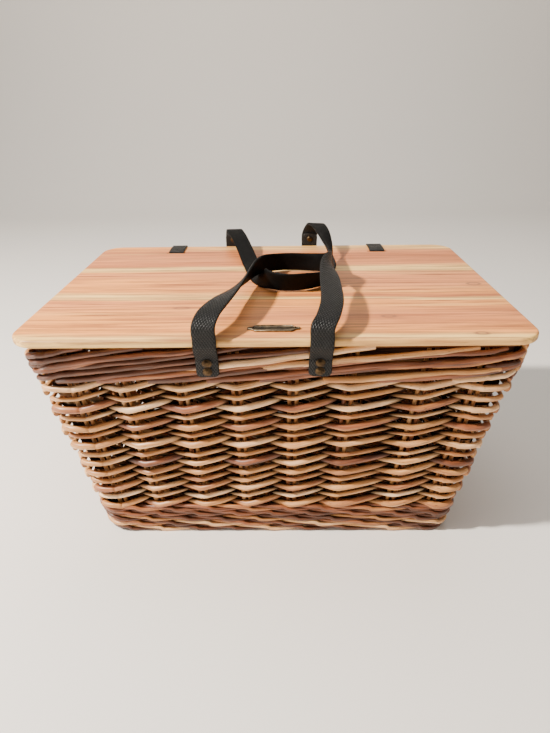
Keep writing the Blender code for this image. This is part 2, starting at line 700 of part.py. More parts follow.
def add_loops(collection, leather):
    """The two leather loops that hinge the lid, each a closed band."""
    path = loop_path()
    for x, name in ((-LID_SLOT_X, "left"), (LID_SLOT_X, "right")):
        bm = bmesh.new()
        rows = [[bm.verts.new((x + side * LOOP_WIDTH / 2, y, z)) for y, z in path]
                for side in (-1, 1)]
        for index in range(len(path)):
            after = (index + 1) % len(path)
            bm.faces.new((rows[0][index], rows[1][index], rows[1][after],
                          rows[0][after]))
        loop = add_mesh_object(f"hinge_loop_{name}", bm, leather, collection)
        solidify = loop.modifiers.new("Thickness", "SOLIDIFY")
        solidify.thickness = LOOP_THICKNESS
        solidify.offset = 0
        solidify.use_even_offset = True


def add_joint_empty(name, place, collection):
    """An empty on a joint's axis, which carries the pieces that move."""
    empty = bpy.data.objects.new(name, None)
    empty.location = place
    collection.objects.link(empty)
    return empty


def keep_place(obj, empty):
    """Parents an object to an empty without moving it."""
    obj.parent = empty
    obj.matrix_parent_inverse = Matrix.Translation(empty.location).inverted()


def main():
    for obj in list(bpy.data.objects):
        bpy.data.objects.remove(obj)
    parts = new_collection("pie_basket")
    cutters = new_collection("cutters")
    willow = new_material("willow", (0.42, 0.24, 0.12), 0.55)
    wood = new_material("acacia", (0.68, 0.44, 0.26), 0.5)
    leather = new_material("black_leather", (0.02, 0.02, 0.02), 0.5)
    brass = new_material("aged_brass", (0.20, 0.15, 0.09), 0.4, 1.0)

    swing_y = long_wall_point(1, SWING_Z, STRAP_OFFSET)[0]
    bodies = {
        "lid": add_joint_empty("lid_axis", (0, HINGE_Y, HINGE_Z), parts),
        "front_handle": add_joint_empty("front_handle_axis", (0, -swing_y, SWING_Z),
                                        parts),
        "back_handle": add_joint_empty("back_handle_axis", (0, swing_y, SWING_Z), parts),
    }
    add_stake_walls(parts, cutters, willow)
    add_weavers(parts, willow)
    add_rings(parts, willow)
    add_base(parts, willow)
    add_lid(parts, wood, cutters)
    add_plate(parts, brass)
    add_loops(parts, leather)
    add_handles(parts, cutters, leather, bodies)
    add_rivets(parts, brass)
    for name in ("lid_board", "name_plate", "plate_pin_left", "plate_pin_right"):
        keep_place(bpy.data.objects[name], bodies["lid"])


main()
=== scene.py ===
"""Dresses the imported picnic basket: woven willow, wooden lid, leather and brass.

It is run as a script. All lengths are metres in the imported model's frame: +Z is up, the
front wall faces -Y and the basket stands on the floor at the origin.
"""

import math

import bmesh
import bpy
import numpy as np
from mathutils import Matrix, Vector


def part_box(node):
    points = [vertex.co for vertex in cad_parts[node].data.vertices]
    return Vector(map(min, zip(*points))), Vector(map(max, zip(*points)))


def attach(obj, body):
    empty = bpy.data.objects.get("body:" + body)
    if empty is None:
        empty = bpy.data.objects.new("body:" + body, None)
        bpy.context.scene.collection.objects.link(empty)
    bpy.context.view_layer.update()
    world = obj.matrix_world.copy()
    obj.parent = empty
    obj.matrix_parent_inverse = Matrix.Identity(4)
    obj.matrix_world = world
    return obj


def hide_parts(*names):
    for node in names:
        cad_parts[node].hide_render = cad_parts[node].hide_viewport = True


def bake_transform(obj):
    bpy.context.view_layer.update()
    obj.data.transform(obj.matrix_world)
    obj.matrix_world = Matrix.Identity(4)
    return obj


bl_info = {
    "name": "Willow picnic basket",
    "version": (1, 0, 0),
    "blender": (4, 5, 0),
    "location": "3D View > Sidebar > Basket",
    "description": "Weaves a willow basket and adds its lid, straps and fittings",
    "category": "Add Mesh",
}

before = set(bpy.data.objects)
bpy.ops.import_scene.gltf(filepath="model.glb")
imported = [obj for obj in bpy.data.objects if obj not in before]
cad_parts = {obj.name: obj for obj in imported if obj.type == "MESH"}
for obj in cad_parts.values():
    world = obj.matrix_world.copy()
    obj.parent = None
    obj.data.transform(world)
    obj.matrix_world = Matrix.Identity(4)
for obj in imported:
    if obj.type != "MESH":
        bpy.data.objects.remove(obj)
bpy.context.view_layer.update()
LID_LOW, LID_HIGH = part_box("lid_board")
PLATE_LOW, PLATE_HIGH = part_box("name_plate")

# The wall's centre line, from the floor to the rim
BASKET_HEIGHT = 0.2365
WALL_HALF_THICKNESS = 0.00931
BASE_HALF_WIDTH = 0.185 - WALL_HALF_THICKNESS
BASE_HALF_DEPTH = 0.115 - WALL_HALF_THICKNESS
TAPER = 0.038
BASE_CORNER_RADIUS = 0.012
RIM_CORNER_RADIUS = 0.013

# The stake columns of each wall as shares of its straight run, which is shortened by the
# inset, and by the drift too at the rim
COLUMN_INSET = 0.006
COLUMN_DRIFT = 0.009
FRONT_COLUMNS = (-1.0, -0.76, -0.465, -0.19, 0.093, 0.372, 0.735, 1.0)
BACK_COLUMNS = tuple(2 * i / 7 - 1 for i in range(8))
SIDE_COLUMNS = tuple(2 * i / 4 - 1 for i in range(5))
WALL_COLUMNS = (FRONT_COLUMNS, SIDE_COLUMNS, BACK_COLUMNS, SIDE_COLUMNS)
BACK_WALL = 2
BATTEN_HEIGHT = 0.012
BATTEN_THICKNESS = 0.008

# The stakes: their lower and upper ends, the lower tops of those under the hinge loops,
# and how far the two of a pair stand to the sides of their column
STAKE_FOOT = 0.004
STAKE_TOP = 0.2298
SHORT_STAKE_TOP = 0.2205
STAKE_SIDE = 0.0033

# A rod is painted dark, as shade, up to the first distance from the middle of the wall,
# and comes to its full colour over the second one
OPEN_FROM = 0.0012
OPEN_OVER = 0.0040

# Heights of the woven levels on the front wall, from the foot band to the rim band,
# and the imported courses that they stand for
COURSES = (
    (0.0415, 0.0537), (0.0657, 0.0773, 0.0880), (0.1011, 0.1119, 0.1251),
    (0.1366, 0.1466), (0.1587, 0.1690, 0.1810, 0.1930))
THICK_LEVELS = (1, 0, 1, 0, 1, 1, 0, 1, 0, 1, 0, 1, 0, 1)

# Thin levels that the front wall doesn't have, by wall and course. At the sides, whose
# levels lie lower by the drop, one more fills up to the rim; at the rear they close gaps
# that would show through the front wall
EXTRA_LEVELS = {
    (1, 4): (0.2040,), (3, 4): (0.2040,),
    (BACK_WALL, 0): (0.0360, 0.0475, 0.0597), (BACK_WALL, 1): (0.0715, 0.0827)}
SIDE_LEVEL_DROP = 0.0055

# How far a rod of the weave climbs, the share of a column over which it turns to the
# corner, where the outer rod of a level (from its seat) and the inner one (from the
# middle of the wall) then lie, and how flat the slopes of the rods' wave are
LEVEL_CLIMB = 0.0112
CORNER_SHARE = 0.12
CORNER_OUT = 0.0009
CORNER_IN = -0.0040
FLATTENED = 0.985

# The foot band's levels, and how many stakes a wave of its rods passes
FOOT_LEVELS = (0.0042, 0.0118, 0.0196, 0.0278, 0.0350)
FOOT_STAKES = 2.6

# The rim's climbing rods: radius, shift in columns, lowest and highest height. Behind
# them the plain rods, and the one on top: height, distance from the wall's middle, radius
RIM_ROWS = ((0.0031, 0.55, 0.1988, 0.2200), (0.0028, 0.05, 0.2120, 0.2336))
RIM_INSIDE = tuple((z, -0.0054, 0.0037) for z in (0.2255, 0.2175, 0.2095, 0.2022))
RIM_TOP = (0.2331, 0.0, 0.0031)

# How many columns a climbing rod passes, and the fewest that are left after a cut
RIM_COLUMNS = (3.1, 4.1)
RIM_SHORTEST = 0.5
RIM_POINTS = 30

# The straps: heights of their rivets, of their ends and of the line they swing about,
# and the distance of the face that they lie on from the middle of the wall
RIVET_HEIGHTS = (0.222141, 0.213741)
STRAP_END_Z = 0.208041
SWING_Z = 0.226641
STRAP_WIDTH = 0.020
STRAP_THICKNESS = 0.0026
LINING_THICKNESS = 0.0020
CORNER_ROUNDING = 0.0038
CLEARANCE = 0.0003
WEAVE_FACE = 0.0077
OVER_LINING = LINING_THICKNESS + 2 * CLEARANCE
HANDLE_CENTRE_X = -0.009
HANDLE_HALF_SPAN = 0.048
WALL_LEAN = math.atan2(TAPER, BASKET_HEIGHT)
LID_BOTTOM, LID_TOP = LID_LOW[2], LID_HIGH[2]
HALF_LID = LID_HIGH[1]

# The slots: their distance from the middle and from the rear edge, and their half sizes
SLOT_X = 0.128
SLOT_INSET = 0.033
SLOT_HALF_WIDTH = 0.0125
SLOT_HALF_DEPTH = 0.0020

# The hinge loops: width, half thickness, distance from the middle of the wall at the
# rim, and lowest height; and two stretches of the leather, which are handed on but not used
LOOP_WIDTH = 0.019
LOOP_HALF_THICKNESS = 0.0006
LOOP_OUT = 0.0083
LOOP_LOW = 0.2214
LOOP_BEND = ((0, 0.15, 0.2290), (0, 0.15, 0.2375))
STRAP_BEND_Y = 0.153
STRAP_BEND_Z = (0.2235, 0.2330)

# The rivets: the inner washer's distance from the middle of the wall, and the height of
# those that join the back handle to its linings
WASHER_IN = -0.0080
JOINING_Z = 0.2525

# The front handle from its left end to its right end: across as a share of the half
# span, back as a share of half the lid, up from the lid as a share of the strap's width,
# the heading in degrees and the strap's turn from flat to on edge.
FRONT_LIE = (
    (-1.00, -0.990, 0.62, 90, 0), (-0.93, -0.930, 0.97, 86, 0),
    (-0.77, -0.780, 1.12, 77, 8), (-0.61, -0.580, 1.07, 66, 28),
    (-0.47, -0.390, 0.98, 59, 50), (-0.365, -0.210, 0.90, 54, 65),
    (-0.255, -0.050, 0.86, 50, 76), (-0.12, 0.095, 0.75, 40, 83),
    (0.05, 0.190, 0.62, 22, 87), (0.29, 0.240, 0.56, 6, 87),
    (0.60, 0.250, 0.55, -2, 87), (0.88, 0.238, 0.55, -14, 88),
    (1.12, 0.205, 0.60, -39, 90), (1.27, 0.140, 0.72, -63, 90),
    (1.355, 0.060, 0.92, -78, 94), (1.385, -0.025, 1.16, -88, 96),
    (1.380, -0.110, 1.36, -93, 84), (1.325, -0.205, 1.47, -96, 60),
    (1.280, -0.330, 1.47, -98, 35), (1.262, -0.530, 1.33, -99, 13),
    (1.24, -0.770, 1.11, -99, 3), (1.14, -0.930, 0.88, -97, 0),
    (1.03, -0.990, 0.58, -93, 0))

# The same for the back handle, whose legs stand behind the lid and fold forward.
BACK_LIE = (
    (-1.00, 1.030, 0.62, -90, 0), (-0.98, 1.010, 0.98, -88, 0),
    (-0.92, 0.940, 1.10, -82, 0), (-0.77, 0.790, 0.92, -74, 0),
    (-0.59, 0.600, 0.52, -70, 0), (-0.43, 0.400, 0.18, -66, 0),
    (-0.30, 0.220, 0.10, -64, 2), (-0.20, 0.070, 0.17, -62, 17),
    (-0.10, -0.070, 0.42, -50, 56), (0.04, -0.165, 0.54, -26, 92),
    (0.27, -0.220, 0.54, -8, 104), (0.53, -0.236, 0.54, 2, 108),
    (0.78, -0.224, 0.54, 12, 108), (1.01, -0.190, 0.51, 26, 113),
    (1.22, -0.145, 0.49, 38, 118), (1.37, -0.085, 0.48, 54, 118),
    (1.455, 0.010, 0.50, 74, 108), (1.48, 0.150, 0.53, 84, 96),
    (1.485, 0.310, 0.60, 88, 82), (1.475, 0.460, 0.78, 91, 60),
    (1.44, 0.630, 1.10, 93, 34), (1.36, 0.810, 1.42, 93, 12),
    (1.24, 0.970, 1.44, 91, 2), (1.10, 1.030, 0.70, 90, 0))

# Where the legs of each handle are riveted to the wall, as shares of the half span
LEGS_ACROSS = {-1: (-1.00, 1.01), 1: (-1.00, 1.04)}

# The lid's wood: where its boards meet, and the place and half sizes of its knots
BOARD_JOINTS = (-0.0563, 0.0389)
KNOTS = ((-0.0877, -0.0793, 0.0100, 0.0040), (0.1036, -0.1042, 0.0085, 0.0045),
         (0.2080, -0.0126, 0.0080, 0.0060), (0.1741, -0.1450, 0.0080, 0.0040))

# The camera: where it stands, its pitch, yaw and roll in degrees, and its focal length,
# which is assumed, and the height of its picture in pixels
CAMERA_PLACE = (0.008, -0.570, 0.425)
CAMERA_ANGLES = (26.39, -0.97, 0.79)
FOCAL_PIXELS = 550
PICTURE_PIXELS = 733
SENSOR_WIDTH = 36.0

# The lights: name, place, height that they point at, size, power and colour
LIGHTS = (
    ("key", (-1.20, -0.46, 1.44), 0.18, 0.12, 92, (1, 0.93, 0.84)),
    ("fill", (1.2, -1.3, 0.9), 0.12, 1.2, 5.5, (1.0, 0.90, 0.74)),
    ("side", (-1.6, -0.75, 0.35), 0.12, 0.6, 12, (1, 0.88, 0.80)),
    ("top", (0.1, 0.6, 1.9), 0.1, 1.4, 17, (1, 0.97, 0.93)))


def srgb(red, green, blue):
    """A linear colour from the values that a picture shows, 0 to 255."""
    return tuple((c / 255 / 12.92) if c <= 10 else ((c / 255 + 0.055) / 1.055) ** 2.4
                 for c in (red, green, blue))


# ---------------------------------------------------------------- settings

def metres(name, description, default):
    """A length of the panel, in metres."""
    return bpy.props.FloatProperty(
        name=name, description=description, default=default, subtype="DISTANCE",
        unit="LENGTH", precision=4)


def tone(name, description, *shown):
    """A colour of the panel, from the values that a picture shows, 0 to 255."""
    return bpy.props.FloatVectorProperty(
        name=name, description=description, default=srgb(*shown), subtype="COLOR",
        min=0, max=1)


class WillowSettings(bpy.types.PropertyGroup):
    thick_radius: metres("Thick rod", "Radius of the thick weaving rods", 0.0031)
    thin_radius: metres("Thin rod", "Radius of the thin weaving rods", 0.0022)
    stake_radius: metres("Stake", "Radius of the upright stakes", 0.0020)
    bark: tone("Brown bark", "Colour of the darkest rods", 84, 46, 26)
    red: tone("Reddish rod", "Colour of the reddish rods", 150, 88, 54)
    gold: tone("Golden rod", "Colour of the yellow rods", 202, 142, 82)
    pale: tone("Pale rod", "Colour of the palest rods", 255, 212, 164)
    # The hollows colour is painted shade, for the rods deep inside the weave
    painted_shade: tone("Hollows", "Colour of the rods deep inside the weave", 22, 12, 8)


class LidSettings(bpy.types.PropertyGroup):
    edge_radius: metres("Edge rounding", "Radius of the lid's rounded edges", 0.0022)
    corner_radius: metres("Corner rounding", "Radius of the lid's corners in plan", 0.024)
    sapwood: tone("Sapwood", "Colour of the cream stripes", 255, 206, 122)
    heartwood: tone("Heartwood", "Colour of the tan boards", 250, 162, 78)
    dark_grain: tone("Dark grain", "Colour of the dark streaks and knots", 130, 68, 36)


class LeatherSettings(bpy.types.PropertyGroup):
    colour: tone("Leather", "Colour of the straps", 5, 5, 5)
    emboss: metres("Diamond", "Width of one embossed diamond", 0.0025)


class StageSettings(bpy.types.PropertyGroup):
    floor: tone("Floor", "Colour of the floor and the wall behind", 238, 233, 226)


# ---------------------------------------------------------------- mesh helpers

def swept_part(rings, around, along, closed=False, **values):
    """Tubes from rings of points: strands x stations x profile points x 3.

    A face joins each pair of neighbours on one ring to the same pair on the next ring.
    An open tube gets one face at each end. around and along are the UV places, in
    metres, of the profile's points and of the stations. values are numbers per point.
    """
    strands, stations, sides, _ = rings.shape
    index = np.arange(strands * stations * sides).reshape(strands, stations, sides)
    here = index if closed else index[:, :-1]
    there = np.roll(index, -1, axis=1) if closed else index[:, 1:]
    quads = np.stack((here, there, np.roll(there, -1, 2), np.roll(here, -1, 2)), -1)
    u = np.broadcast_to(around, (strands, here.shape[1], sides + 1))
    along = np.broadcast_to(along, (strands, here.shape[1] + 1))
    low, high = along[:, :-1, None], along[:, 1:, None]
    low, high = (np.broadcast_to(v, quads.shape[:3]) for v in (low, high))
    left, right = u[..., :-1], u[..., 1:]
    uv = np.stack((np.stack((left, low), -1), np.stack((left, high), -1),
                   np.stack((right, high), -1), np.stack((right, low), -1)), 3)
    part = {"points": rings.reshape(-1, 3), "quads": quads.reshape(-1, 4),
            "uv": uv.reshape(-1, 2), "caps": []}
    if not closed:
        part["caps"] = [index[:, 0], index[:, -1, ::-1]]
    for name, value in values.items():
        part[name] = np.broadcast_to(value, rings.shape[:3]).reshape(-1)
    return part


def new_piece(name, parts, material):
    """One mesh object from swept parts, with its UV map and its values per point."""
    points, quads, caps, uvs, base = [], [], [], [], 0
    for part in parts:
        points.append(part["points"])
        quads.append(part["quads"] + base)
        uvs.append(part["uv"])
        for cap in part["caps"]:
            caps.append(cap + base)
        base += len(part["points"])
    points, quads, uvs = (np.concatenate(a) for a in (points, quads, uvs))
    loops = [quads.reshape(-1)] + [cap.reshape(-1) for cap in caps]
    sizes = [np.full(len(quads), 4)] + [np.full(len(c), c.shape[1]) for c in caps]
    loops, sizes = np.concatenate(loops), np.concatenate(sizes)
    uvs = np.concatenate((uvs, np.zeros((len(loops) - len(uvs), 2))))
    mesh = bpy.data.meshes.new(name)
    mesh.vertices.add(len(points))
    mesh.vertices.foreach_set("co", points.reshape(-1).astype(np.float32))
    mesh.loops.add(len(loops))
    mesh.loops.foreach_set("vertex_index", loops.astype(np.int32))
    mesh.polygons.add(len(sizes))
    starts = np.concatenate(([0], np.cumsum(sizes)[:-1]))
    mesh.polygons.foreach_set("loop_start", starts.astype(np.int32))
    mesh.uv_layers.new(name="surface")
    mesh.uv_layers[0].uv.foreach_set("vector", uvs.reshape(-1).astype(np.float32))
    for value in [key for key in parts[0] if key not in ("points", "quads", "caps", "uv")]:
        attribute = mesh.attributes.new(value, "FLOAT", "POINT")
        data = np.concatenate([part[value] for part in parts])
        attribute.data.foreach_set("value", data.astype(np.float32))
    mesh.update(calc_edges=True)
    mesh.validate()
    mesh.shade_smooth()
    mesh.set_sharp_from_angle(angle=math.radians(50))
    mesh.materials.append(material)
    obj = bpy.data.objects.new(name, mesh)
    bpy.context.scene.collection.objects.link(obj)
    return obj


def place_piece(obj, body, slot, *nodes):
    """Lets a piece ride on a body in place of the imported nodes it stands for."""
    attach(obj, body)
    if nodes:
        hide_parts(*nodes)


def add_piece(name, parts, finish, body, slot, *nodes):
    """A new piece that rides on a body, in its own finish."""
    place_piece(new_piece(name, parts, finish_for(finish)), body, slot, *nodes)


def add_willow(name, parts, *nodes):
    """A new willow piece of the basket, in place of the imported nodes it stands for."""
    add_piece(name, parts, "willow", "basket", "willow", *nodes)


def add_soft(name, part, body, start, end, node):
    """A new leather piece, in place of the imported node it stands for."""
    obj = new_piece(name, [part], finish_for("black_leather"))
    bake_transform(obj)
    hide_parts(node)


def full_turn(count):
    """Angles at even steps round a circle, without the last one that closes it."""
    return np.linspace(0, 2 * math.pi, count, endpoint=False)


def unit(vectors):
    """Vectors of length one."""
    return vectors / np.linalg.norm(vectors, axis=-1, keepdims=True)


def rod_part(paths, radii, tints, upright=(0, 0, 1), sides=10, out=None):
    """Round rods: rings about each path, closed by a face at each end.

    paths is rods x points x 3 and radii is rods x points. A ring's point is the path's
    point plus the radius times (cos a across + sin a up), for a over a full turn. One
    more ring at both ends draws in, so that a cut end has a rounded rim. Where out, the
    path's distance from the middle of the wall, is given, the value open runs from 0
    in the middle of the wall, where shade is painted into the colour, to 1 on its two
    faces. It is also lower on the sides of the rod that face neither in nor out of the
    wall, which is painted shade as well. Where out is not given, it is 0.8, a little
    painted shade.
    """
    ahead = unit(np.gradient(paths, axis=1))
    back = paths[:, :1] - ahead[:, :1] * radii[:, :1, None] * 0.2
    front = paths[:, -1:] + ahead[:, -1:] * radii[:, -1:, None] * 0.2
    paths = np.concatenate((back, paths, front), axis=1)
    ahead = np.concatenate((ahead[:, :1], ahead, ahead[:, -1:]), axis=1)
    radii = np.concatenate((radii[:, :1] * 0.72, radii, radii[:, -1:] * 0.72), axis=1)
    across = unit(np.cross(ahead, upright))
    up = np.cross(across, ahead)
    angle = full_turn(sides)[:, None]
    ring = across[:, :, None] * np.cos(angle) + up[:, :, None] * np.sin(angle)
    rings = paths[:, :, None] + radii[:, :, None, None] * ring
    # Painted shade: the share of each rod's full colour, 0.8 where no out is given
    unshaded = 0.8
    if out is not None:
        out = np.concatenate((out[:, :1], out, out[:, -1:]), axis=1)
        far = np.abs(out[:, :, None] + radii[:, :, None] * np.cos(angle[:, 0]))
        unshaded = np.clip((far - OPEN_FROM) / OPEN_OVER, 0, 1)
        unshaded = unshaded * (0.66 + 0.34 * np.abs(np.cos(angle[:, 0])))
    around = np.linspace(0, 2 * math.pi * radii.mean(), sides + 1)
    steps = np.linalg.norm(np.diff(paths, axis=1), axis=-1)
    along = np.concatenate((np.zeros((len(paths), 1)), np.cumsum(steps, axis=1)), axis=1)
    along = along + np.arange(len(paths))[:, None] * 0.37
    return swept_part(rings, around, along, tint=np.asarray(tints)[:, None, None],
                      open=unshaded)


def spline(a, b, c, d, steps):
    """Points of Catmull-Rom splines from b towards c, with the neighbours a and d.

    A point at t is half of
    2b + (c - a) t + (2a - 5b + 4c - d) t^2 + (3b - a - 3c + d) t^3.
    """
    t = (np.arange(steps) / steps)[None, :, None]
    curve = 0.5 * (2 * b + (c - a) * t + (2 * a - 5 * b + 4 * c - d) * t ** 2
                   + (3 * b - a - 3 * c + d) * t ** 3)
    return curve.reshape(-1, b.shape[-1])


def joined_curve(stations, steps):
    """A smooth curve through stations, from the first one to the last."""
    s = np.asarray(stations, float)
    s = np.concatenate((s[:1], s, s[-1:]))
    curve = spline(*(s[i:len(s) - 3 + i, None] for i in range(4)), steps)
    return np.concatenate((curve, s[-1:]))


def turned_outwards(rings, w, face):
    """Reverses the order round each ring where the faces would look inwards."""
    first, after = rings[0], rings[1, 0]
    normal = np.cross(first[1] - first[0], after - first[0])
    if normal @ (first[0] - first.mean(0)) > 0:
        rings, w, face = rings[:, ::-1], w[::-1], face[::-1]
    return rings, np.concatenate((w, w[:1])), face[None, None, :]


# ---------------------------------------------------------------- wall geometry

def wall_sizes(z):
    """Half width, half depth and corner radius of the wall's centre line at height z."""
    share = z / BASKET_HEIGHT
    radius = BASE_CORNER_RADIUS + (RIM_CORNER_RADIUS - BASE_CORNER_RADIUS) * share
    return BASE_HALF_WIDTH + TAPER * share, BASE_HALF_DEPTH + TAPER * share, radius


def wall_points(turn, z, out):
    """Points of the wall: turn counts the walls from the front left corner, 0 to 4.

    Each wall takes one unit of turn, from the middle of one corner to the middle of the
    next: a straight run with an eighth of a circle at both ends. out moves outwards.
    """
    turn, z, out = np.broadcast_arrays(turn, z, out)
    wall = np.floor(turn) % 4
    half_width, half_depth, radius = wall_sizes(z)
    is_long = wall % 2 == 0
    reach = np.where(is_long, half_depth, half_width)
    run = np.where(is_long, half_width, half_depth) - radius
    place = (2 * (turn - np.floor(turn)) - 1) * (run + radius * math.pi / 4)
    bend = np.maximum(np.abs(place) - run, 0) / radius
    along = np.sign(place) * (np.minimum(np.abs(place), run)
                              + (radius + out) * np.sin(bend))
    away = reach - radius + (radius + out) * np.cos(bend)
    angle = wall * math.pi / 2
    x = along * np.cos(angle) + away * np.sin(angle)
    y = along * np.sin(angle) - away * np.cos(angle)
    return np.stack((x, y, z), axis=-1)


def wall_run(wall, z):
    """Half a wall's straight run at height z, its columns' reach, and with corners."""
    half_width, half_depth, radius = wall_sizes(z)
    run = (half_width if wall % 2 == 0 else half_depth) - radius
    inset = COLUMN_INSET + COLUMN_DRIFT * z / BASKET_HEIGHT
    return run, run - inset, run + radius * math.pi / 4


def column_turns(wall, z):
    """Where the stake columns of a wall stand at height z, and the corners by them."""
    _, reach, whole = wall_run(wall, z)
    turns = (np.array(WALL_COLUMNS[wall]) * reach / whole + 1) / 2
    return wall + np.concatenate(([0.0], turns, [1.0]))


def wander(rng, shape, count, size):
    """Slow random waves along rods: three sines with random phases, at most size."""
    u = np.linspace(0, 1, count)
    total = np.zeros(shape + (count,))
    for waves in (1.5, 3.7, 7.1):
        phase = rng.uniform(0, 2 * math.pi, shape + (1,))
        total += np.sin(u * waves * 2 * math.pi + phase) / waves
    return total * size / 1.1


def squared(wave, power):
    """A sine or cosine raised to a power with its sign kept, for a flattened ring."""
    return np.sign(wave) * np.abs(wave) ** power


def flattened(wave, share):
    """A cosine with flatter slopes: the arc sine of share times it, from -1 to 1."""
    return np.arcsin(share * wave) / math.asin(share)


def eased(share):
    """From 0 at a share of 0 to 1 at a share of 1, along half a cosine wave."""
    return 0.5 - 0.5 * np.cos(math.pi * np.clip(share, 0, 1))


# ---------------------------------------------------------------- materials

class Finish:
    """A material's node tree with short calls to add and join nodes."""

    def __init__(self, name, roughness=0.5, metallic=0.0):
        self.material = bpy.data.materials.new(name)
        self.material.use_nodes = True
        self.tree = self.material.node_tree
        self.shader = self.tree.nodes["Principled BSDF"]
        self.shader.inputs["Roughness"].default_value = roughness
        self.shader.inputs["Metallic"].default_value = metallic

    def node(self, kind, **settings):
        new = self.tree.nodes.new(kind)
        for key, value in settings.items():
            setattr(new, key, value)
        return new

    def set(self, socket, value):
        """Joins a socket to another one, or gives it a value."""
        if isinstance(value, bpy.types.NodeSocket):
            self.tree.links.new(value, socket)
        elif isinstance(value, tuple) and len(value) == 3 and len(
                socket.default_value) == 4:
            socket.default_value = (*value, 1.0)
        else:
            socket.default_value = value

    def surface(self, name, value):
        self.set(self.shader.inputs[name], value)

    def math(self, operation, first, second=0.0, third=0.0, clamp=False):
        new = self.node("ShaderNodeMath", operation=operation, use_clamp=clamp)
        for socket, value in zip(new.inputs, (first, second, third)):
            self.set(socket, value)
        return new.outputs[0]

    def mix(self, share, first, second, kind="RGBA", blend="MIX"):
        new = self.node("ShaderNodeMix", data_type=kind)
        if kind == "RGBA":
            new.blend_type = blend
        start = {"FLOAT": 2, "VECTOR": 4, "RGBA": 6}[kind]
        self.set(new.inputs[0], share)
        self.set(new.inputs[start], first)
        self.set(new.inputs[start + 1], second)
        return new.outputs[{"FLOAT": 0, "VECTOR": 1, "RGBA": 2}[kind]]

    def ramp(self, value, stops, interpolation="LINEAR"):
        """Colours, or greys, at places between 0 and 1."""
        new = self.node("ShaderNodeValToRGB")
        new.color_ramp.interpolation = interpolation
        while len(new.color_ramp.elements) < len(stops):
            new.color_ramp.elements.new(1.0)
        for element, (place, colour) in zip(new.color_ramp.elements, stops):
            element.position = place
            colour = (colour,) * 3 if isinstance(colour, (int, float)) else colour
            element.color = (*colour, 1.0)
        self.set(new.inputs[0], value)
        return new.outputs[0]

    def coordinates(self, scale=(1, 1, 1), use_uv=False, location=(0, 0, 0)):
        """Object or UV coordinates, moved and then scaled."""
        if use_uv:
            source = self.node("ShaderNodeUVMap", uv_map="surface").outputs[0]
        else:
            source = self.node("ShaderNodeTexCoord").outputs["Object"]
        mapping = self.node("ShaderNodeMapping", vector_type="POINT")
        mapping.inputs["Scale"].default_value = scale
        mapping.inputs["Location"].default_value = location
        self.set(mapping.inputs["Vector"], source)
        return mapping.outputs[0]

    def noise(self, vector, scale=1.0, detail=4.0, roughness=0.55, distortion=0.0):
        new = self.node("ShaderNodeTexNoise")
        for name, value in (("Vector", vector), ("Scale", scale), ("Detail", detail),
                            ("Roughness", roughness), ("Distortion", distortion)):
            self.set(new.inputs[name], value)
        return new.outputs[0]

    def attribute(self, name):
        return self.node("ShaderNodeAttribute", attribute_name=name).outputs["Fac"]

    def bump(self, height, distance, strength=1.0):
        new = self.node("ShaderNodeBump")
        new.inputs["Strength"].default_value = strength
        new.inputs["Distance"].default_value = distance
        self.set(new.inputs["Height"], height)
        self.set(self.shader.inputs["Normal"], new.outputs[0])


def willow_finish(settings):
    """Stained willow: each rod has its own tint, with streaks, specks and knots, and
    painted shade where the rods lie deep in the weave.
    """
    finish = Finish("willow")
    streaks = finish.noise(finish.coordinates((620, 26, 1), use_uv=True), detail=5)
    blotches = finish.noise(finish.coordinates((60, 17, 1), use_uv=True), detail=2)
    tint = finish.math("ADD", finish.attribute("tint"),
                       finish.math("MULTIPLY_ADD", streaks, 0.7, -0.35))
    tint = finish.math("ADD", tint, finish.math("MULTIPLY_ADD", blotches, 0.8, -0.40),
                       clamp=True)
    colour = finish.ramp(tint, (
        (0.0, tuple(settings.bark)), (0.30, tuple(settings.red)),
        (0.60, tuple(settings.gold)), (1.0, tuple(settings.pale))))
    specks = finish.noise(finish.coordinates((900, 240, 1), use_uv=True), detail=2)
    specks = finish.ramp(specks, ((0.30, 0.0), (0.37, 1.0)))
    colour = finish.mix(finish.math("MULTIPLY_ADD", specks, -0.6, 0.6), colour,
                        srgb(50, 28, 18))
    cells = finish.node("ShaderNodeTexVoronoi", feature="F1")
    finish.set(cells.inputs["Vector"], finish.coordinates((90, 22, 1), use_uv=True))
    cells.inputs["Scale"].default_value = 1.0
    knots = finish.ramp(cells.outputs["Distance"], (
        (0.0, 0.9), (0.05, 0.35), (0.075, 0.95), (0.13, 0.0)))
    colour = finish.mix(finish.math("MULTIPLY", knots, 0.75), colour, srgb(42, 22, 16))
    # Painted shade: deep in the wall, and on the sides of the rods that face neither in nor
    # out, the colour goes over to the hollows colour and the gloss fades
    unshaded = finish.ramp(finish.attribute("open"), ((0.05, 0.0), (0.85, 1.0)))
    colour = finish.mix(unshaded, tuple(settings.painted_shade), colour)
    finish.surface("Base Color", colour)
    finish.surface("Roughness", finish.math("MULTIPLY_ADD", streaks, 0.25, 0.27))
    finish.surface("Specular IOR Level", finish.math("MULTIPLY", unshaded, 0.55))
    height = finish.math("ADD", finish.math("MULTIPLY", streaks, 0.7),
                         finish.math("MULTIPLY", knots, -0.4))
    finish.bump(height, 0.0005, 0.6)
    return finish.material


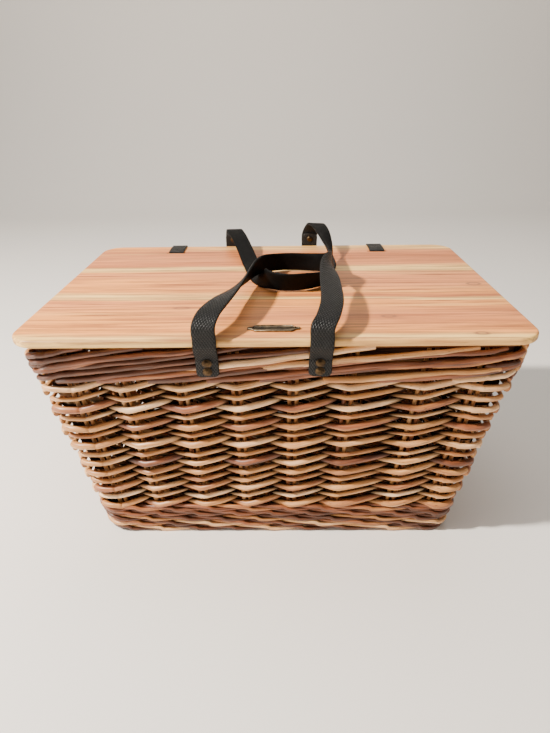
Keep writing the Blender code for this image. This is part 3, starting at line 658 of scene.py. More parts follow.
def acacia_finish(settings):
    """Three glued boards of acacia: cream sapwood at their edges, streaks and knots."""
    finish = Finish("acacia", roughness=0.42)
    place = finish.node("ShaderNodeSeparateXYZ")
    finish.set(place.inputs[0], finish.coordinates())
    x, y, _ = place.outputs
    slow = finish.noise(finish.coordinates((5, 22, 22)), detail=3)
    bent = finish.math("ADD", y, finish.math("MULTIPLY_ADD", slow, 0.026, -0.013))
    cream, tan = tuple(settings.sapwood), tuple(settings.heartwood)
    pink, brown = srgb(230, 146, 86), srgb(196, 114, 62)
    depth = 2 * HALF_LID

    across = finish.math("MULTIPLY_ADD", bent, 1 / depth, 0.5, clamp=True)

    def stripes(places, end):
        """A ramp over the lid's depth; places are in millimetres from its middle."""
        stops = [((mm / 1000 + HALF_LID) / depth, shade) for mm, shade in places]
        return finish.ramp(across, [(0.0, cream)] + stops + [(1.0, end)])

    left = stripes((
        (-147, cream), (-138, tan), (-100, tan), (-62, pink), (-56.5, tan), (-56, cream),
        (-40, cream), (-30, tan), (5, tan), (30, pink), (40, tan), (40.5, cream),
        (58, cream), (64, brown), (90, pink), (125, brown)), tan)
    right = stripes((
        (-149, cream), (-142, tan), (-100, pink), (-70, tan), (-56.8, tan),
        (-56.3, cream), (-51.5, cream), (-48, brown), (-36, tan), (-10, pink),
        (20, pink), (37, pink), (37.5, cream), (54, cream), (66, pink), (100, brown),
        (126, pink), (138, cream)), cream)
    colour = finish.mix(finish.math("MULTIPLY_ADD", x, 6.0, 0.9, clamp=True), left, right)
    grain = finish.noise(finish.coordinates((7, 190, 160)), detail=6, roughness=0.62,
                         distortion=0.4)
    broad = finish.noise(finish.coordinates((3.2, 44, 44)), detail=3, distortion=0.8)
    pores = finish.noise(finish.coordinates((55, 1300, 900)), detail=2)
    dark = tuple(settings.dark_grain)
    colour = finish.mix(finish.ramp(grain, ((0.43, 0.0), (0.70, 0.95))), colour, dark)
    colour = finish.mix(finish.ramp(broad, ((0.48, 0.0), (0.76, 0.80))), colour, brown)
    colour = finish.mix(finish.ramp(broad, ((0.22, 0.42), (0.40, 0.0))), colour, cream)
    colour = finish.mix(finish.ramp(pores, ((0.62, 0.0), (0.72, 0.35))), colour, dark)
    for joint in BOARD_JOINTS:
        line = finish.math("ABSOLUTE", finish.math("SUBTRACT", y, joint))
        line = finish.ramp(finish.math("MULTIPLY", line, 100.0),
                           ((0.0, 0.75), (0.05, 0.45), (0.09, 0.0)))
        colour = finish.mix(line, colour, srgb(120, 76, 52))
    for knot_x, knot_y, long, wide in KNOTS:
        side = finish.math("MULTIPLY_ADD", x, 1 / long, -knot_x / long)
        deep = finish.math("MULTIPLY_ADD", y, 1 / wide, -knot_y / wide)
        far = finish.math("POWER", finish.math(
            "ADD", finish.math("MULTIPLY", side, side),
            finish.math("MULTIPLY", deep, deep)), 0.5)
        far = finish.math("ADD", far, finish.math("MULTIPLY_ADD", grain, 0.6, -0.3))
        ring = finish.ramp(finish.math("MULTIPLY", far, 0.4),
                           ((0.0, 0.35), (0.16, 0.30), (0.26, 0.85), (0.42, 0.12),
                            (0.9, 0.0)))
        colour = finish.mix(ring, colour, srgb(128, 80, 56))
    finish.surface("Base Color", colour)
    finish.surface("Roughness", finish.math("MULTIPLY_ADD", grain, 0.22, 0.34))
    finish.surface("Specular IOR Level", 0.45)
    finish.bump(finish.math("SUBTRACT", finish.math("MULTIPLY", grain, -0.5), pores),
                0.00018, 0.5)
    return finish.material


def leather_finish(settings):
    """Black leather: diamonds pressed into the outer face, a fine grain inside."""
    finish = Finish("black_leather", roughness=0.45)
    place = finish.node("ShaderNodeSeparateXYZ")
    finish.set(place.inputs[0], finish.node("ShaderNodeUVMap", uv_map="surface").outputs[0])
    u, v, _ = place.outputs
    turns = math.pi / settings.emboss
    waves = []
    for sign in (1.0, -1.0):
        slant = finish.math("MULTIPLY_ADD", u, sign, finish.math("MULTIPLY", v, 0.62))
        wave = finish.math("SINE", finish.math("MULTIPLY", slant, turns))
        waves.append(finish.math("ABSOLUTE", wave))
    diamonds = finish.math("POWER", finish.math("MINIMUM", *waves), 0.55)
    outer = finish.ramp(finish.attribute("face"), ((0.45, 0.0), (0.55, 1.0)))
    diamonds = finish.math("MULTIPLY", diamonds, outer)
    fine = finish.noise(finish.coordinates((1900, 1900, 1900)), detail=3)
    creases = finish.noise(finish.coordinates((160, 160, 160)), detail=4)
    worn = finish.ramp(creases, ((0.35, 0.0), (0.75, 1.0)))
    base = tuple(settings.colour)
    lighter = tuple(c * 1.5 + 0.002 for c in base)
    colour = finish.mix(finish.math("MULTIPLY", worn, 0.5), base, lighter)
    colour = finish.mix(finish.math("MULTIPLY", diamonds, 0.4), colour, lighter)
    finish.surface("Base Color", colour)
    rough = finish.math("MULTIPLY_ADD", diamonds, -0.20, 0.56)
    finish.surface("Roughness", finish.math("MULTIPLY_ADD", worn, 0.08, rough))
    finish.surface("Specular IOR Level", finish.math("MULTIPLY_ADD", diamonds, 0.34, 0.08))
    height = finish.math("ADD", finish.math("MULTIPLY", diamonds, 1.0),
                         finish.math("MULTIPLY", fine, 0.35))
    height = finish.math("ADD", height, finish.math("MULTIPLY", creases, 0.5))
    finish.bump(height, 0.0006, 1.0)
    return finish.material


def brass_finish(name, dark, bright):
    """Aged brass: dark, and rubbed brighter in patches."""
    finish = Finish(name, roughness=0.4, metallic=1.0)
    patches = finish.noise(finish.coordinates((240, 240, 240)), detail=5, roughness=0.65)
    scratches = finish.noise(finish.coordinates((120, 1500, 1500)), detail=2)
    colour = finish.mix(finish.ramp(patches, ((0.35, 0.0), (0.68, 1.0))), dark, bright)
    finish.surface("Base Color", colour)
    finish.surface("Roughness", finish.math("MULTIPLY_ADD", patches, 0.35, 0.22))
    finish.bump(finish.math("ADD", patches, finish.math("MULTIPLY", scratches, 0.5)),
                0.00015, 0.6)
    return finish.material


METALS = {"aged_brass": (srgb(32, 25, 19), srgb(92, 73, 51)),
          "plate_bronze": (srgb(66, 56, 44), srgb(150, 132, 106))}
NATURAL = {"willow": (willow_finish, "basket_willow"),
           "acacia": (acacia_finish, "basket_lid"),
           "black_leather": (leather_finish, "basket_leather")}
MADE = {}


def finish_for(name):
    """Makes a finish once and hands it out again for every piece that has it."""
    if name in MADE:
        return MADE[name]
    if name in METALS:
        MADE[name] = brass_finish(name, *METALS[name])
    else:
        make, group = NATURAL[name]
        MADE[name] = make(getattr(bpy.context.scene, group))
    return MADE[name]


# ---------------------------------------------------------------- operators

class BASKET_OT_weave(bpy.types.Operator):
    """Weave the four walls: pairs of rods that twist round the stakes"""
    bl_idname = "basket.weave"
    bl_label = "Weave walls"

    def execute(self, context):
        settings = context.scene.basket_willow
        rng = np.random.default_rng(7)
        level = 0
        for course, heights in enumerate(COURSES):
            thick = THICK_LEVELS[level:level + len(heights)]
            level += len(heights)
            parts = []
            for wall in range(4):
                extra = EXTRA_LEVELS.get((wall, course), ())
                parts.append(self.wall(wall, heights + extra, thick + (0,) * len(extra),
                                       settings, rng))
            name = f"weaver_course_{course + 1}"
            add_willow(f"weave_course_{course + 1}", parts, name + "_a", name + "_b")
        return {"FINISHED"}

    def wall(self, wall, heights, thick, settings, rng):
        """The rods of some levels of one wall, two twisted rods to each level.

        u counts the stake columns, and p runs from 0 at the column that a rod passes
        outside, over 1 at the next one, which it passes inside, to 2 at the one after.
        The wave w is a flattened cosine of pi p, which runs from 1 to -1. The
        rod runs out from the wall's centre line by its seat times w, and bulges by a
        sine of p, outwards up to p = 1 and inwards after it. It climbs a whole level
        up to p = 1, falls back behind the stakes and comes out level with the next
        column, so that each column has a row of V shapes above one another. Past the
        last column the outer rod of each level goes round the corner and the inner
        one stays inside it.
        """
        columns = len(WALL_COLUMNS[wall])
        is_long = wall % 2 == 0
        reach = 0.99 if is_long else 0.98
        count = 16 * (columns + 1)
        u = np.linspace(-reach, columns - 1 + reach, count)
        heights = np.repeat(np.array(heights) - (0 if is_long else SIDE_LEVEL_DROP), 2)
        radius = np.where(np.repeat(thick, 2), settings.thick_radius,
                          settings.thin_radius) * rng.uniform(0.90, 1.10, len(heights))
        strand = np.arange(len(heights)) % 2
        phase = (u[None] + strand[:, None]) % 2
        wave = flattened(np.cos(math.pi * phase), FLATTENED)
        bulge = np.sin(math.pi * phase)
        beyond = np.clip(np.maximum(-u, u - columns + 1), 0, 1)[None]
        seat = (settings.stake_radius + radius + CLEARANCE)[:, None]
        out = seat * wave + 0.90 * radius[:, None] * bulge
        is_left = u < 0
        last_column = np.where(is_left, 0, columns - 1)
        outside = (last_column + strand[:, None]) % 2 == 0
        bend = eased(beyond / CORNER_SHARE)
        out = out * (1 - bend) + np.where(outside, seat + CORNER_OUT, CORNER_IN) * bend
        climb = LEVEL_CLIMB * rng.uniform(0.88, 1.10, len(heights))[:, None]
        fall = 1 - 0.88 * eased((phase - 1) / 0.6)
        late = fall * np.minimum(1, (2 - phase) / 0.45)
        lift = climb * np.where(phase < 1, phase, late)
        level = np.where(outside, np.where(is_left, 0.0003, -0.0008), 0.1 * climb)
        lift = lift * (1 - bend) + level * bend
        z = heights[:, None] - 0.0022 + lift
        z = z + wander(rng, (len(heights),), count, 0.0010)
        out = out + wander(rng, (len(heights),), count, 0.0003)
        numbers = np.arange(-1, columns + 1)
        turns = np.stack([np.interp(u, numbers, column_turns(wall, h)) for h in heights])
        paths = wall_points(turns, z, out)
        taper = np.linspace(1.12, 0.92, count)[None]
        flip = rng.random(len(heights)) < 0.5
        taper = np.where(flip[:, None], taper[:, ::-1], taper)
        radii = radius[:, None] * taper
        radii = radii * (1 + wander(rng, (len(heights),), count, 0.05))
        tints = np.clip(rng.normal(0.54, 0.22, len(heights)), 0.05, 1.0)
        return rod_part(paths, radii, tints, out=out)


class BASKET_OT_foot(bpy.types.Operator):
    """Lay the foot band: three thin rods to a level, each outside two stakes of three"""
    bl_idname = "basket.foot"
    bl_label = "Foot band"

    def execute(self, context):
        rng = np.random.default_rng(21)
        parts = []
        for level, height in enumerate(FOOT_LEVELS):
            parts.append(self.level(height, level, rng))
        add_willow("foot_band", parts, *[f"foot_rod_{i}" for i in range(1, 5)])
        return {"FINISHED"}

    def level(self, height, level, rng):
        """Three rods all the way round, a third of a wave apart.

        Column by column a rod is outside, outside and inside the stakes. It dips
        where it comes out and rises towards the place where it goes in.
        """
        index = [column_turns(wall, height)[1:-1] for wall in range(4)]
        turns = np.concatenate(index + [index[0][:1] + 4])
        stakes = len(turns) - 1
        count = 12 * stakes
        u = np.linspace(0, stakes, count)
        waves = round(stakes / FOOT_STAKES)
        paths, radii, outs = [], [], []
        for strand in range(3):
            angle = 2 * math.pi * (u / stakes * waves + strand / 3 + level * 0.21)
            rise = (angle / (2 * math.pi)) % 1
            out = 0.0044 + 0.0030 * np.cos(angle)
            z = height + 0.0074 * (rise - 0.5) * np.sin(math.pi * rise) ** 0.3
            z = z + wander(rng, (), count, 0.0008)
            z = np.maximum(z, 0.0024)
            turn = np.interp(u, np.arange(stakes + 1), turns)
            paths.append(wall_points(turn, z, out))
            outs.append(out)
            radii.append(np.full(count, rng.uniform(0.0019, 0.0025)))
        tints = np.clip(rng.normal(0.17, 0.36, 3), 0.0, 1)
        return rod_part(np.array(paths), np.array(radii), tints, sides=8,
                        out=np.array(outs))


class BASKET_OT_rim(bpy.types.Operator):
    """Lay the rim: long rods that climb from stake to stake, and plain rods inside"""
    bl_idname = "basket.rim"
    bl_label = "Rim border"

    def execute(self, context):
        rng = np.random.default_rng(5)
        parts = []
        for wall in range(4):
            for row in RIM_ROWS:
                parts += self.border(wall, rng, *row)
        inside = [self.ring(rng, *rod) for rod in RIM_INSIDE]
        top = [self.ring(rng, *RIM_TOP)]
        outer, inner = ([f"rim_rod_{word}_{i}" for i in range(1, 4)]
                        for word in ("outer", "inner"))
        add_willow("rim_border", parts, *outer)
        add_willow("rim_inner_rods", inside, *inner)
        add_willow("rim_top_rod", top, "rim_top_rod")
        return {"FINISHED"}

    def border(self, wall, rng, radius, shift, low, high):
        """Rods that start low beside a stake and climb evenly past the next ones.

        Each climbs from low to high over three or four columns. Those that would pass
        a corner of the rim are cut off there, at the height that they have reached.
        The band sinks a little towards the end of the wall, where it is crowded.
        """
        columns = len(WALL_COLUMNS[wall])
        end = columns - 0.01 if wall % 2 == 0 else columns - 0.02
        parts = []
        numbers = np.arange(-1, columns + 1)
        for start in np.arange(-5, columns) - shift:
            passed = rng.uniform(*RIM_COLUMNS)
            start = start + rng.uniform(-0.12, 0.12)
            first, last = max(start, -0.99), min(start + passed, end)
            if last - first < RIM_SHORTEST:
                continue
            u = np.linspace(first, last, RIM_POINTS)
            t = (u - start) / passed
            turn = np.interp(u, numbers, column_turns(wall, 0.22))
            bow = rng.uniform(-0.0018, 0.0022)
            z = low + (high - low) * t + bow * np.sin(math.pi * t)
            z = z - 0.0030 * np.clip(u - columns + 2.4, 0, 1) * t
            z = z + wander(rng, (), RIM_POINTS, 0.0008) + rng.uniform(-0.0010, 0.0006)
            hump = np.sin(math.pi * np.clip(0.06 + t * 0.90, 0, 1))
            out = 0.0008 + 0.0052 * np.minimum(1, hump * 1.8)
            out = out + wander(rng, (), RIM_POINTS, 0.0003)
            path = wall_points(turn, z, out)[None]
            size = radius * rng.uniform(0.84, 1.12)
            size = size * np.linspace(1.08, 0.88, RIM_POINTS)[None]
            tint = np.clip(rng.normal(0.30, 0.32), 0.0, 1.0)
            parts.append(rod_part(path, size, [tint], out=out[None]))
        return parts

    def ring(self, rng, z, out, radius):
        """One rod all the way round the rim; its ends meet at a slant."""
        count = 240
        turn = np.linspace(0.12, 4.11, count)[None] % 4
        rise = wander(rng, (1,), count, 0.0004)
        paths = wall_points(turn, z + rise, out)
        radii = np.full((1, count), radius)
        return rod_part(paths, radii, rng.uniform(0.2, 0.5, 1),
                        out=np.full((1, count), out))


class BASKET_OT_stakes(bpy.types.Operator):
    """Stand the stakes in pairs along each wall, on the battens of the base"""
    bl_idname = "basket.stakes"
    bl_label = "Stakes"

    def execute(self, context):
        rng = np.random.default_rng(3)
        settings = context.scene.basket_willow
        for wall, name in enumerate(("front", "right", "back", "left")):
            parts = [self.pairs(wall, settings, rng), self.batten(wall)]
            add_willow(f"stakes_{name}", parts, f"stakes_{name}")
        return {"FINISHED"}

    def pairs(self, wall, settings, rng):
        """Two straight rods to a column, from the batten up into the rim."""
        shares = np.repeat(WALL_COLUMNS[wall], 2)
        tops = np.full(len(shares), STAKE_TOP)
        if wall == BACK_WALL:
            tops[np.abs(np.abs(shares) - 0.72) < 0.09] = SHORT_STAKE_TOP
        z = STAKE_FOOT + (tops[:, None] - STAKE_FOOT) * np.linspace(0, 1, 30)[None]
        _, reach, whole = wall_run(wall, z)
        side = np.tile((-1, 1), len(WALL_COLUMNS[wall]))[:, None] * STAKE_SIDE
        turns = wall + ((shares[:, None] * reach + side) / whole + 1) / 2
        out = wander(rng, (len(z),), 30, 0.0003)
        radii = settings.stake_radius * np.linspace(1.06, 0.9, 30)[None] * np.ones(z.shape)
        upright = (1, 0, 0) if wall % 2 == 0 else (0, 1, 0)
        tints = np.clip(rng.normal(0.5, 0.14, len(z)), 0, 1)
        # The stakes take painted shade as if they stood at a fixed distance out from the
        # middle of the wall
        return rod_part(wall_points(turns, z, out), radii, tints, upright,
                        out=np.full(z.shape, 0.0052))

    def batten(self, wall):
        """A flat strip with rounded edges, as long as the wall's straight part."""
        z = BATTEN_HEIGHT / 2
        run, _, whole = wall_run(wall, z)
        turns = wall + (np.linspace(-run, run, 24) / whole + 1) / 2
        path = wall_points(turns, z, 0.0)
        angle = full_turn(20)
        flat = squared(np.cos(angle), 0.35) * BATTEN_THICKNESS / 2
        tall = squared(np.sin(angle), 0.35) * BATTEN_HEIGHT / 2
        outwards = unit(wall_points(turns, z, 0.01) - path)
        rings = (path[:, None] + outwards[:, None] * flat[None, :, None]
                 + np.array((0, 0, 1.0)) * tall[None, :, None])
        along = np.linspace(0, 2 * run, 24)[None]
        # The batten takes a fixed share of painted shade
        return swept_part(rings[None], np.linspace(0, 0.04, 21), along, tint=0.45, open=0.7)


class BASKET_OT_base(bpy.types.Operator):
    """Weave the base: five sticks across it and rods that go over and under them"""
    bl_idname = "basket.base"
    bl_label = "Base"

    def execute(self, context):
        rng = np.random.default_rng(11)
        for number in range(1, 6):
            low, high = (np.array(c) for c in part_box(f"base_stick_{number}"))
            middle = (low + high) / 2
            y = np.linspace(low[1], high[1], 24)
            path = np.stack((np.full(24, middle[0]), y, np.full(24, middle[2])), -1)
            radii = np.full((1, 24), (high[0] - low[0]) / 2 * 0.98)
            part = rod_part(path[None], radii, [0.5 + 0.05 * number])
            node = f"base_stick_{number}"
            add_willow(node, [part], node)
        add_willow("base_weave", [self.weave(rng)], "base_weave")
        return {"FINISHED"}

    def weave(self, rng):
        """Rows side by side: a row's height is a rounded wave over the sticks.

        The next row's wave has the other sign, so each stick has a row above it and
        the next row below it.
        """
        low, high = (np.array(c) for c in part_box("base_weave"))
        first, last = (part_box(f"base_stick_{n}") for n in (1, 5))
        step = (last[0][0] - first[0][0]) / 4
        rows, count = 31, 90
        radius = (high[1] - low[1]) / rows / 2 * 0.98
        x = np.linspace(low[0] + 0.002, high[0] - 0.002, count)
        y = np.linspace(low[1] + radius, high[1] - radius, rows)
        middle = (low[2] + high[2]) / 2
        reach = (high[2] - low[2]) / 2 - radius - 0.0003
        wave = np.cos((x - (first[0][0] + first[1][0]) / 2) / step * math.pi)
        wave = flattened(wave, 0.97)
        sign = np.where(np.arange(rows) % 2, 1, -1)[:, None]
        z = middle + sign * wave[None] * reach
        y = y[:, None] + wander(rng, (rows,), count, 0.0003)
        paths = np.stack((np.broadcast_to(x, z.shape), y, z), -1)
        radii = radius * rng.uniform(0.9, 1.0, (rows, 1)) * np.ones((1, count))
        return rod_part(paths, radii, np.clip(rng.normal(0.55, 0.2, rows), 0, 1), sides=8)


class BASKET_OT_lid(bpy.types.Operator):
    """Shape the lid board: rounded corners and edges, and two slots for the hinges"""
    bl_idname = "basket.lid"
    bl_label = "Lid board"

    def execute(self, context):
        settings = context.scene.basket_lid
        bm = bmesh.new()
        self.add_edge(bm, settings)
        for side in (-1, 1):
            self.add_slot(bm, side)
        for is_top in (True, False):
            z = LID_TOP if is_top else LID_BOTTOM
            edges = [e for e in bm.edges if e.is_boundary
                     and all(abs(v.co.z - z) < 1e-5 for v in e.verts)]
            filled = bmesh.ops.triangle_fill(bm, use_beauty=True, edges=edges,
                                             normal=(0, 0, 1 if is_top else -1))
            faces = [g for g in filled["geom"] if isinstance(g, bmesh.types.BMFace)]
            for face in faces:
                if (face.normal.z > 0) != is_top:
                    face.normal_flip()
        mesh = bpy.data.meshes.new("lid_board")
        bm.to_mesh(mesh)
        bm.free()
        mesh.shade_smooth()
        mesh.set_sharp_from_angle(angle=math.radians(35))
        mesh.materials.append(finish_for("acacia"))
        obj = bpy.data.objects.new("lid_board", mesh)
        context.scene.collection.objects.link(obj)
        place_piece(obj, "lid", "acacia", "lid_board")
        return {"FINISHED"}

    def add_edge(self, bm, settings):
        """The edge as a profile carried along the outline of the board.

        The profile is a quarter circle, a straight side and a quarter circle. The
        outline is a rectangle whose corners are quarter circles.
        """
        corner, edge = settings.corner_radius, settings.edge_radius
        angle = np.linspace(0, math.pi / 2, 17)
        turns = np.concatenate([angle + k * math.pi / 2 for k in range(4)])
        ways = np.stack((np.cos(turns), np.sin(turns)), -1)
        signs = np.repeat(np.array(((1, 1), (-1, 1), (-1, -1), (1, -1))), 17, axis=0)
        centres = signs * (np.array(LID_HIGH[:2]) - corner)
        bend = np.linspace(0, math.pi / 2, 7)
        inset = edge * (1 - np.sin(bend))
        drop = edge * (1 - np.cos(bend))
        inset = np.concatenate((inset, inset[::-1]))
        height = np.concatenate((LID_TOP - drop, LID_BOTTOM + drop[::-1]))
        plan = centres[:, None] + ways[:, None] * (corner - inset)[None, :, None]
        points = np.concatenate((plan, np.broadcast_to(
            height[None, :, None], plan.shape[:2] + (1,))), -1)
        rows = [[bm.verts.new(p) for p in row] for row in points]
        for row, after in zip(rows, rows[1:] + rows[:1]):
            for a, b, c, d in zip(row, row[1:], after[1:], after):
                bm.faces.new((a, b, c, d))

    def add_slot(self, bm, side):
        """The wall of one slot: a flattened ring of points at the top and the bottom."""
        angle = full_turn(32)
        x = squared(np.cos(angle), 0.35) * SLOT_HALF_WIDTH + side * SLOT_X
        y = squared(np.sin(angle), 0.6) * SLOT_HALF_DEPTH + HALF_LID - SLOT_INSET
        top = [bm.verts.new((a, b, LID_TOP)) for a, b in zip(x, y)]
        low = [bm.verts.new((a, b, LID_BOTTOM)) for a, b in zip(x, y)]
        for i in range(len(top)):
            j = (i + 1) % len(top)
            bm.faces.new((top[i], top[j], low[j], low[i]))


class BASKET_OT_plate(bpy.types.Operator):
    """Make the small bronze plate with a raised border, and its two pins"""
    bl_idname = "basket.plate"
    bl_label = "Name plate"

    def execute(self, context):
        length = PLATE_HIGH[0] - PLATE_LOW[0]
        width = PLATE_HIGH[1] - PLATE_LOW[1]
        middle_y = (PLATE_HIGH[1] + PLATE_LOW[1]) / 2
        low, high = PLATE_LOW[2], PLATE_HIGH[2]
        outline = self.outline(length, width)
        steps = ((0.0, low), (0.0, high - 0.0003), (0.0003, high), (0.0009, high),
                 (0.0012, high - 0.0005), (0.0035, high - 0.0005))
        rings = [np.concatenate((self.inset(outline, inset), np.full(
            (len(outline), 1), z)), -1) for inset, z in steps]
        rings = np.array(rings)[None] + np.array((0, middle_y, 0))
        around = np.linspace(0, 0.1, len(outline) + 1)
        part = swept_part(rings, around, np.arange(len(steps))[None] * 0.001)
        add_piece("name_plate", [part], "plate_bronze", "lid", "aged_brass", "name_plate")
        for word in ("left", "right"):
            node = f"plate_pin_{word}"
            centre = np.mean(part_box(node), axis=0)
            profile = ((0.0013, high - 0.0002), (0.0013, high + 0.0001),
                       (0.0010, high + 0.0005), (0.0005, high + 0.0007))
            pin = turned_part(profile, (centre[0], centre[1], 0), Matrix.Identity(3), 16)
            add_piece(node, [pin], "aged_brass", "lid", "aged_brass", node)
        return {"FINISHED"}

    def outline(self, length, width):
        """The plate's outline: a rectangle with cut corners and a round ear at each end."""
        half, tall = length / 2, width / 2
        body = half - 0.0058
        ear = [(half - 0.0022 + 0.0022 * math.cos(a), 0.0022 * math.sin(a))
               for a in np.linspace(-1.25, 1.25, 9)]
        right = ([(body - 0.0016, -tall), (body, -tall + 0.0018), (body + 0.0012, -0.0030)]
                 + ear + [(body + 0.0012, 0.0030), (body, tall - 0.0018),
                          (body - 0.0016, tall)])
        left = [(-x, -y) for x, y in right]
        return np.array(right + left)

    def inset(self, outline, size):
        """The outline drawn in: each point moves along the mean of its edges' normals."""
        after = unit(np.roll(outline, -1, 0) - outline)
        before = unit(outline - np.roll(outline, 1, 0))
        normal = np.stack((-(after + before)[:, 1], (after + before)[:, 0]), -1)
        normal = unit(normal)
        turn = np.clip((after * before).sum(-1), -1, 1)
        stretch = 1 / np.sqrt(np.maximum((1 + turn) / 2, 0.4))
        return outline + normal * size * stretch[:, None]


def turned_part(profile, place, turn, steps):
    """A turned part: a profile of (radius, height) carried round the Z axis.

    It is then turned by a rotation matrix and moved to its place.
    """
    angle = full_turn(steps)
    radius, height = np.array(profile).T
    rings = np.stack((radius[:, None] * np.cos(angle), radius[:, None] * np.sin(angle),
                      np.broadcast_to(height[:, None], (len(radius), steps))), -1)
    rings = rings @ np.array(turn).T + np.array(place)
    return swept_part(rings[None], np.linspace(0, 0.02, steps + 1),
                      np.arange(len(profile))[None] * 0.001)


def wall_side_point(side, z, offset):
    """Y and Z of a point of the front (-1) or back (1) wall, moved out by offset."""
    y = BASE_HALF_DEPTH + TAPER * z / BASKET_HEIGHT + offset * math.cos(WALL_LEAN)
    return side * y, z - offset * math.sin(WALL_LEAN)


def leg_stations(side, x, lean, offset, edge, heading):
    """Stations of a leather leg up the wall and past the edge of the lid.

    lean is how far the leg has moved across once it is above the lid.
    """
    stations = [(x + lean * share, *wall_side_point(side, z, offset), heading, 0)
                for z, share in ((STRAP_END_Z, 0), (STRAP_END_Z + 0.0008, 0),
                                 (STRAP_END_Z + 0.0035, 0), (RIVET_HEIGHTS[0], 0.1),
                                 (SWING_Z, 0.3))]
    return stations + [(x + lean * share, side * edge, z, heading, 0)
                       for z, share in ((LID_BOTTOM, 0.65), (LID_TOP, 0.85))]


def ribbon_part(stations, width, thickness, mirrored, steps):
    """A strap: a flat rounded profile carried along a smooth curve.

    Across the strap points to the side of its heading and turns upwards by the given
    angle; the thickness lies along the normal of both. The face value is 1 on the
    outer face and 0 on the inner one.
    """
    curve = joined_curve(stations, steps)
    points, heading, turn = curve[:, :3], np.radians(curve[:, 3]), np.radians(curve[:, 4])
    sign = -1 if mirrored else 1
    across = np.stack((sign * np.cos(turn) * np.sin(heading),
                       -sign * np.cos(turn) * np.cos(heading), np.sin(turn)), -1)
    ahead = unit(np.gradient(points, axis=0))
    across = unit(across - ahead * (across * ahead).sum(-1, keepdims=True))
    normal = np.cross(across, ahead)
    w, n, face = strap_profile(width, thickness)
    lengths = np.linalg.norm(np.diff(points, axis=0), axis=-1)
    along = np.concatenate(([0], np.cumsum(lengths)))
    to_end = np.minimum(along, along[-1] - along)
    drawn_in = np.clip(CORNER_ROUNDING - to_end, 0, None)
    narrow = CORNER_ROUNDING - np.sqrt(CORNER_ROUNDING ** 2 - drawn_in ** 2)
    share = 1 - 2 * narrow / width
    rings = (points[:, None] + across[:, None] * w[None, :, None] * share[:, None, None]
             + normal[:, None] * n[None, :, None])
    rings, around, face = turned_outwards(rings, w, face)
    return swept_part(rings[None], around, along[None], face=face)


def strap_profile(width, thickness):
    """Across, through and face values of the strap's section, all the way round."""
    edge = thickness * 0.45
    arc = np.linspace(-math.pi / 2, math.pi / 2, 5)
    flat = np.linspace(-1, 1, 5)[1:-1] * (width / 2 - edge)
    right = (width / 2 - edge + edge * np.cos(arc), thickness / 2 * np.sin(arc))
    top = (flat[::-1], np.full(3, thickness / 2))
    left = (-right[0][::-1], right[1][::-1])
    bottom = (flat, np.full(3, -thickness / 2))
    w = np.concatenate((right[0], top[0], left[0], bottom[0]))
    n = np.concatenate((right[1], top[1], left[1], bottom[1]))
    face = (n > thickness * 0.35).astype(float)
    return w, n, face


def handle_stations(side, lie, extra):
    """Stations of a handle: a leg, the part that lies over the lid, and a leg."""
    edge = HALF_LID + CLEARANCE + STRAP_THICKNESS / 2 + extra
    laid = []
    for across, back, up, heading, turn in lie:
        y = back * HALF_LID
        if abs(back) > 0.98:
            y = math.copysign(max(abs(y), edge), y)
        laid.append((HANDLE_CENTRE_X + across * HANDLE_HALF_SPAN, y,
                     LID_TOP + up * STRAP_WIDTH, heading, turn))
    offset = WEAVE_FACE + STRAP_THICKNESS / 2 + extra
    legs = [leg_stations(side, x, lean, offset, edge, end[3])
            for (x, lean), end in zip(leg_places(side), (laid[0], laid[-1]))]
    return legs[0] + laid + legs[1][::-1]


def leg_places(side):
    """X of a handle's left and right legs at the rivets, and how far each leans."""
    lie = FRONT_LIE if side < 0 else BACK_LIE
    return [(HANDLE_CENTRE_X + leg * HANDLE_HALF_SPAN, (top[0] - leg) * HANDLE_HALF_SPAN)
            for leg, top in zip(LEGS_ACROSS[side], (lie[0], lie[-1]))]


class BASKET_OT_handles(bpy.types.Operator):
    """Lay both carrying handles over the lid, with the lining of the back one"""
    bl_idname = "basket.handles"
    bl_label = "Handles"

    def execute(self, context):
        for side, word, lie, extra in ((-1, "front", FRONT_LIE, 0),
                                       (1, "back", BACK_LIE, OVER_LINING)):
            part = ribbon_part(handle_stations(side, lie, extra), STRAP_WIDTH,
                               STRAP_THICKNESS, side > 0, 6)
            name = f"{word}_handle"
            self.bend(name, part, name, side, f"{name}_strap")
        edge = HALF_LID + CLEARANCE + LINING_THICKNESS / 2
        for (x, lean), word in zip(leg_places(1), ("left", "right")):
            stations = leg_stations(1, x, lean, WEAVE_FACE + LINING_THICKNESS / 2, edge,
                                    -90)
            stations.append((x + lean, edge, LID_TOP + 0.016, -90, 0))
            part = ribbon_part(stations, STRAP_WIDTH, LINING_THICKNESS, True, 6)
            name = f"back_lining_{word}"
            self.bend(name, part, "back_handle", 1, name)
        return {"FINISHED"}

    def bend(self, name, part, body, side, node):
        """Adds the leather piece in place of its imported node."""
        ends = [(0, side * STRAP_BEND_Y, z) for z in STRAP_BEND_Z]
        add_soft(name, part, body, *ends, node)


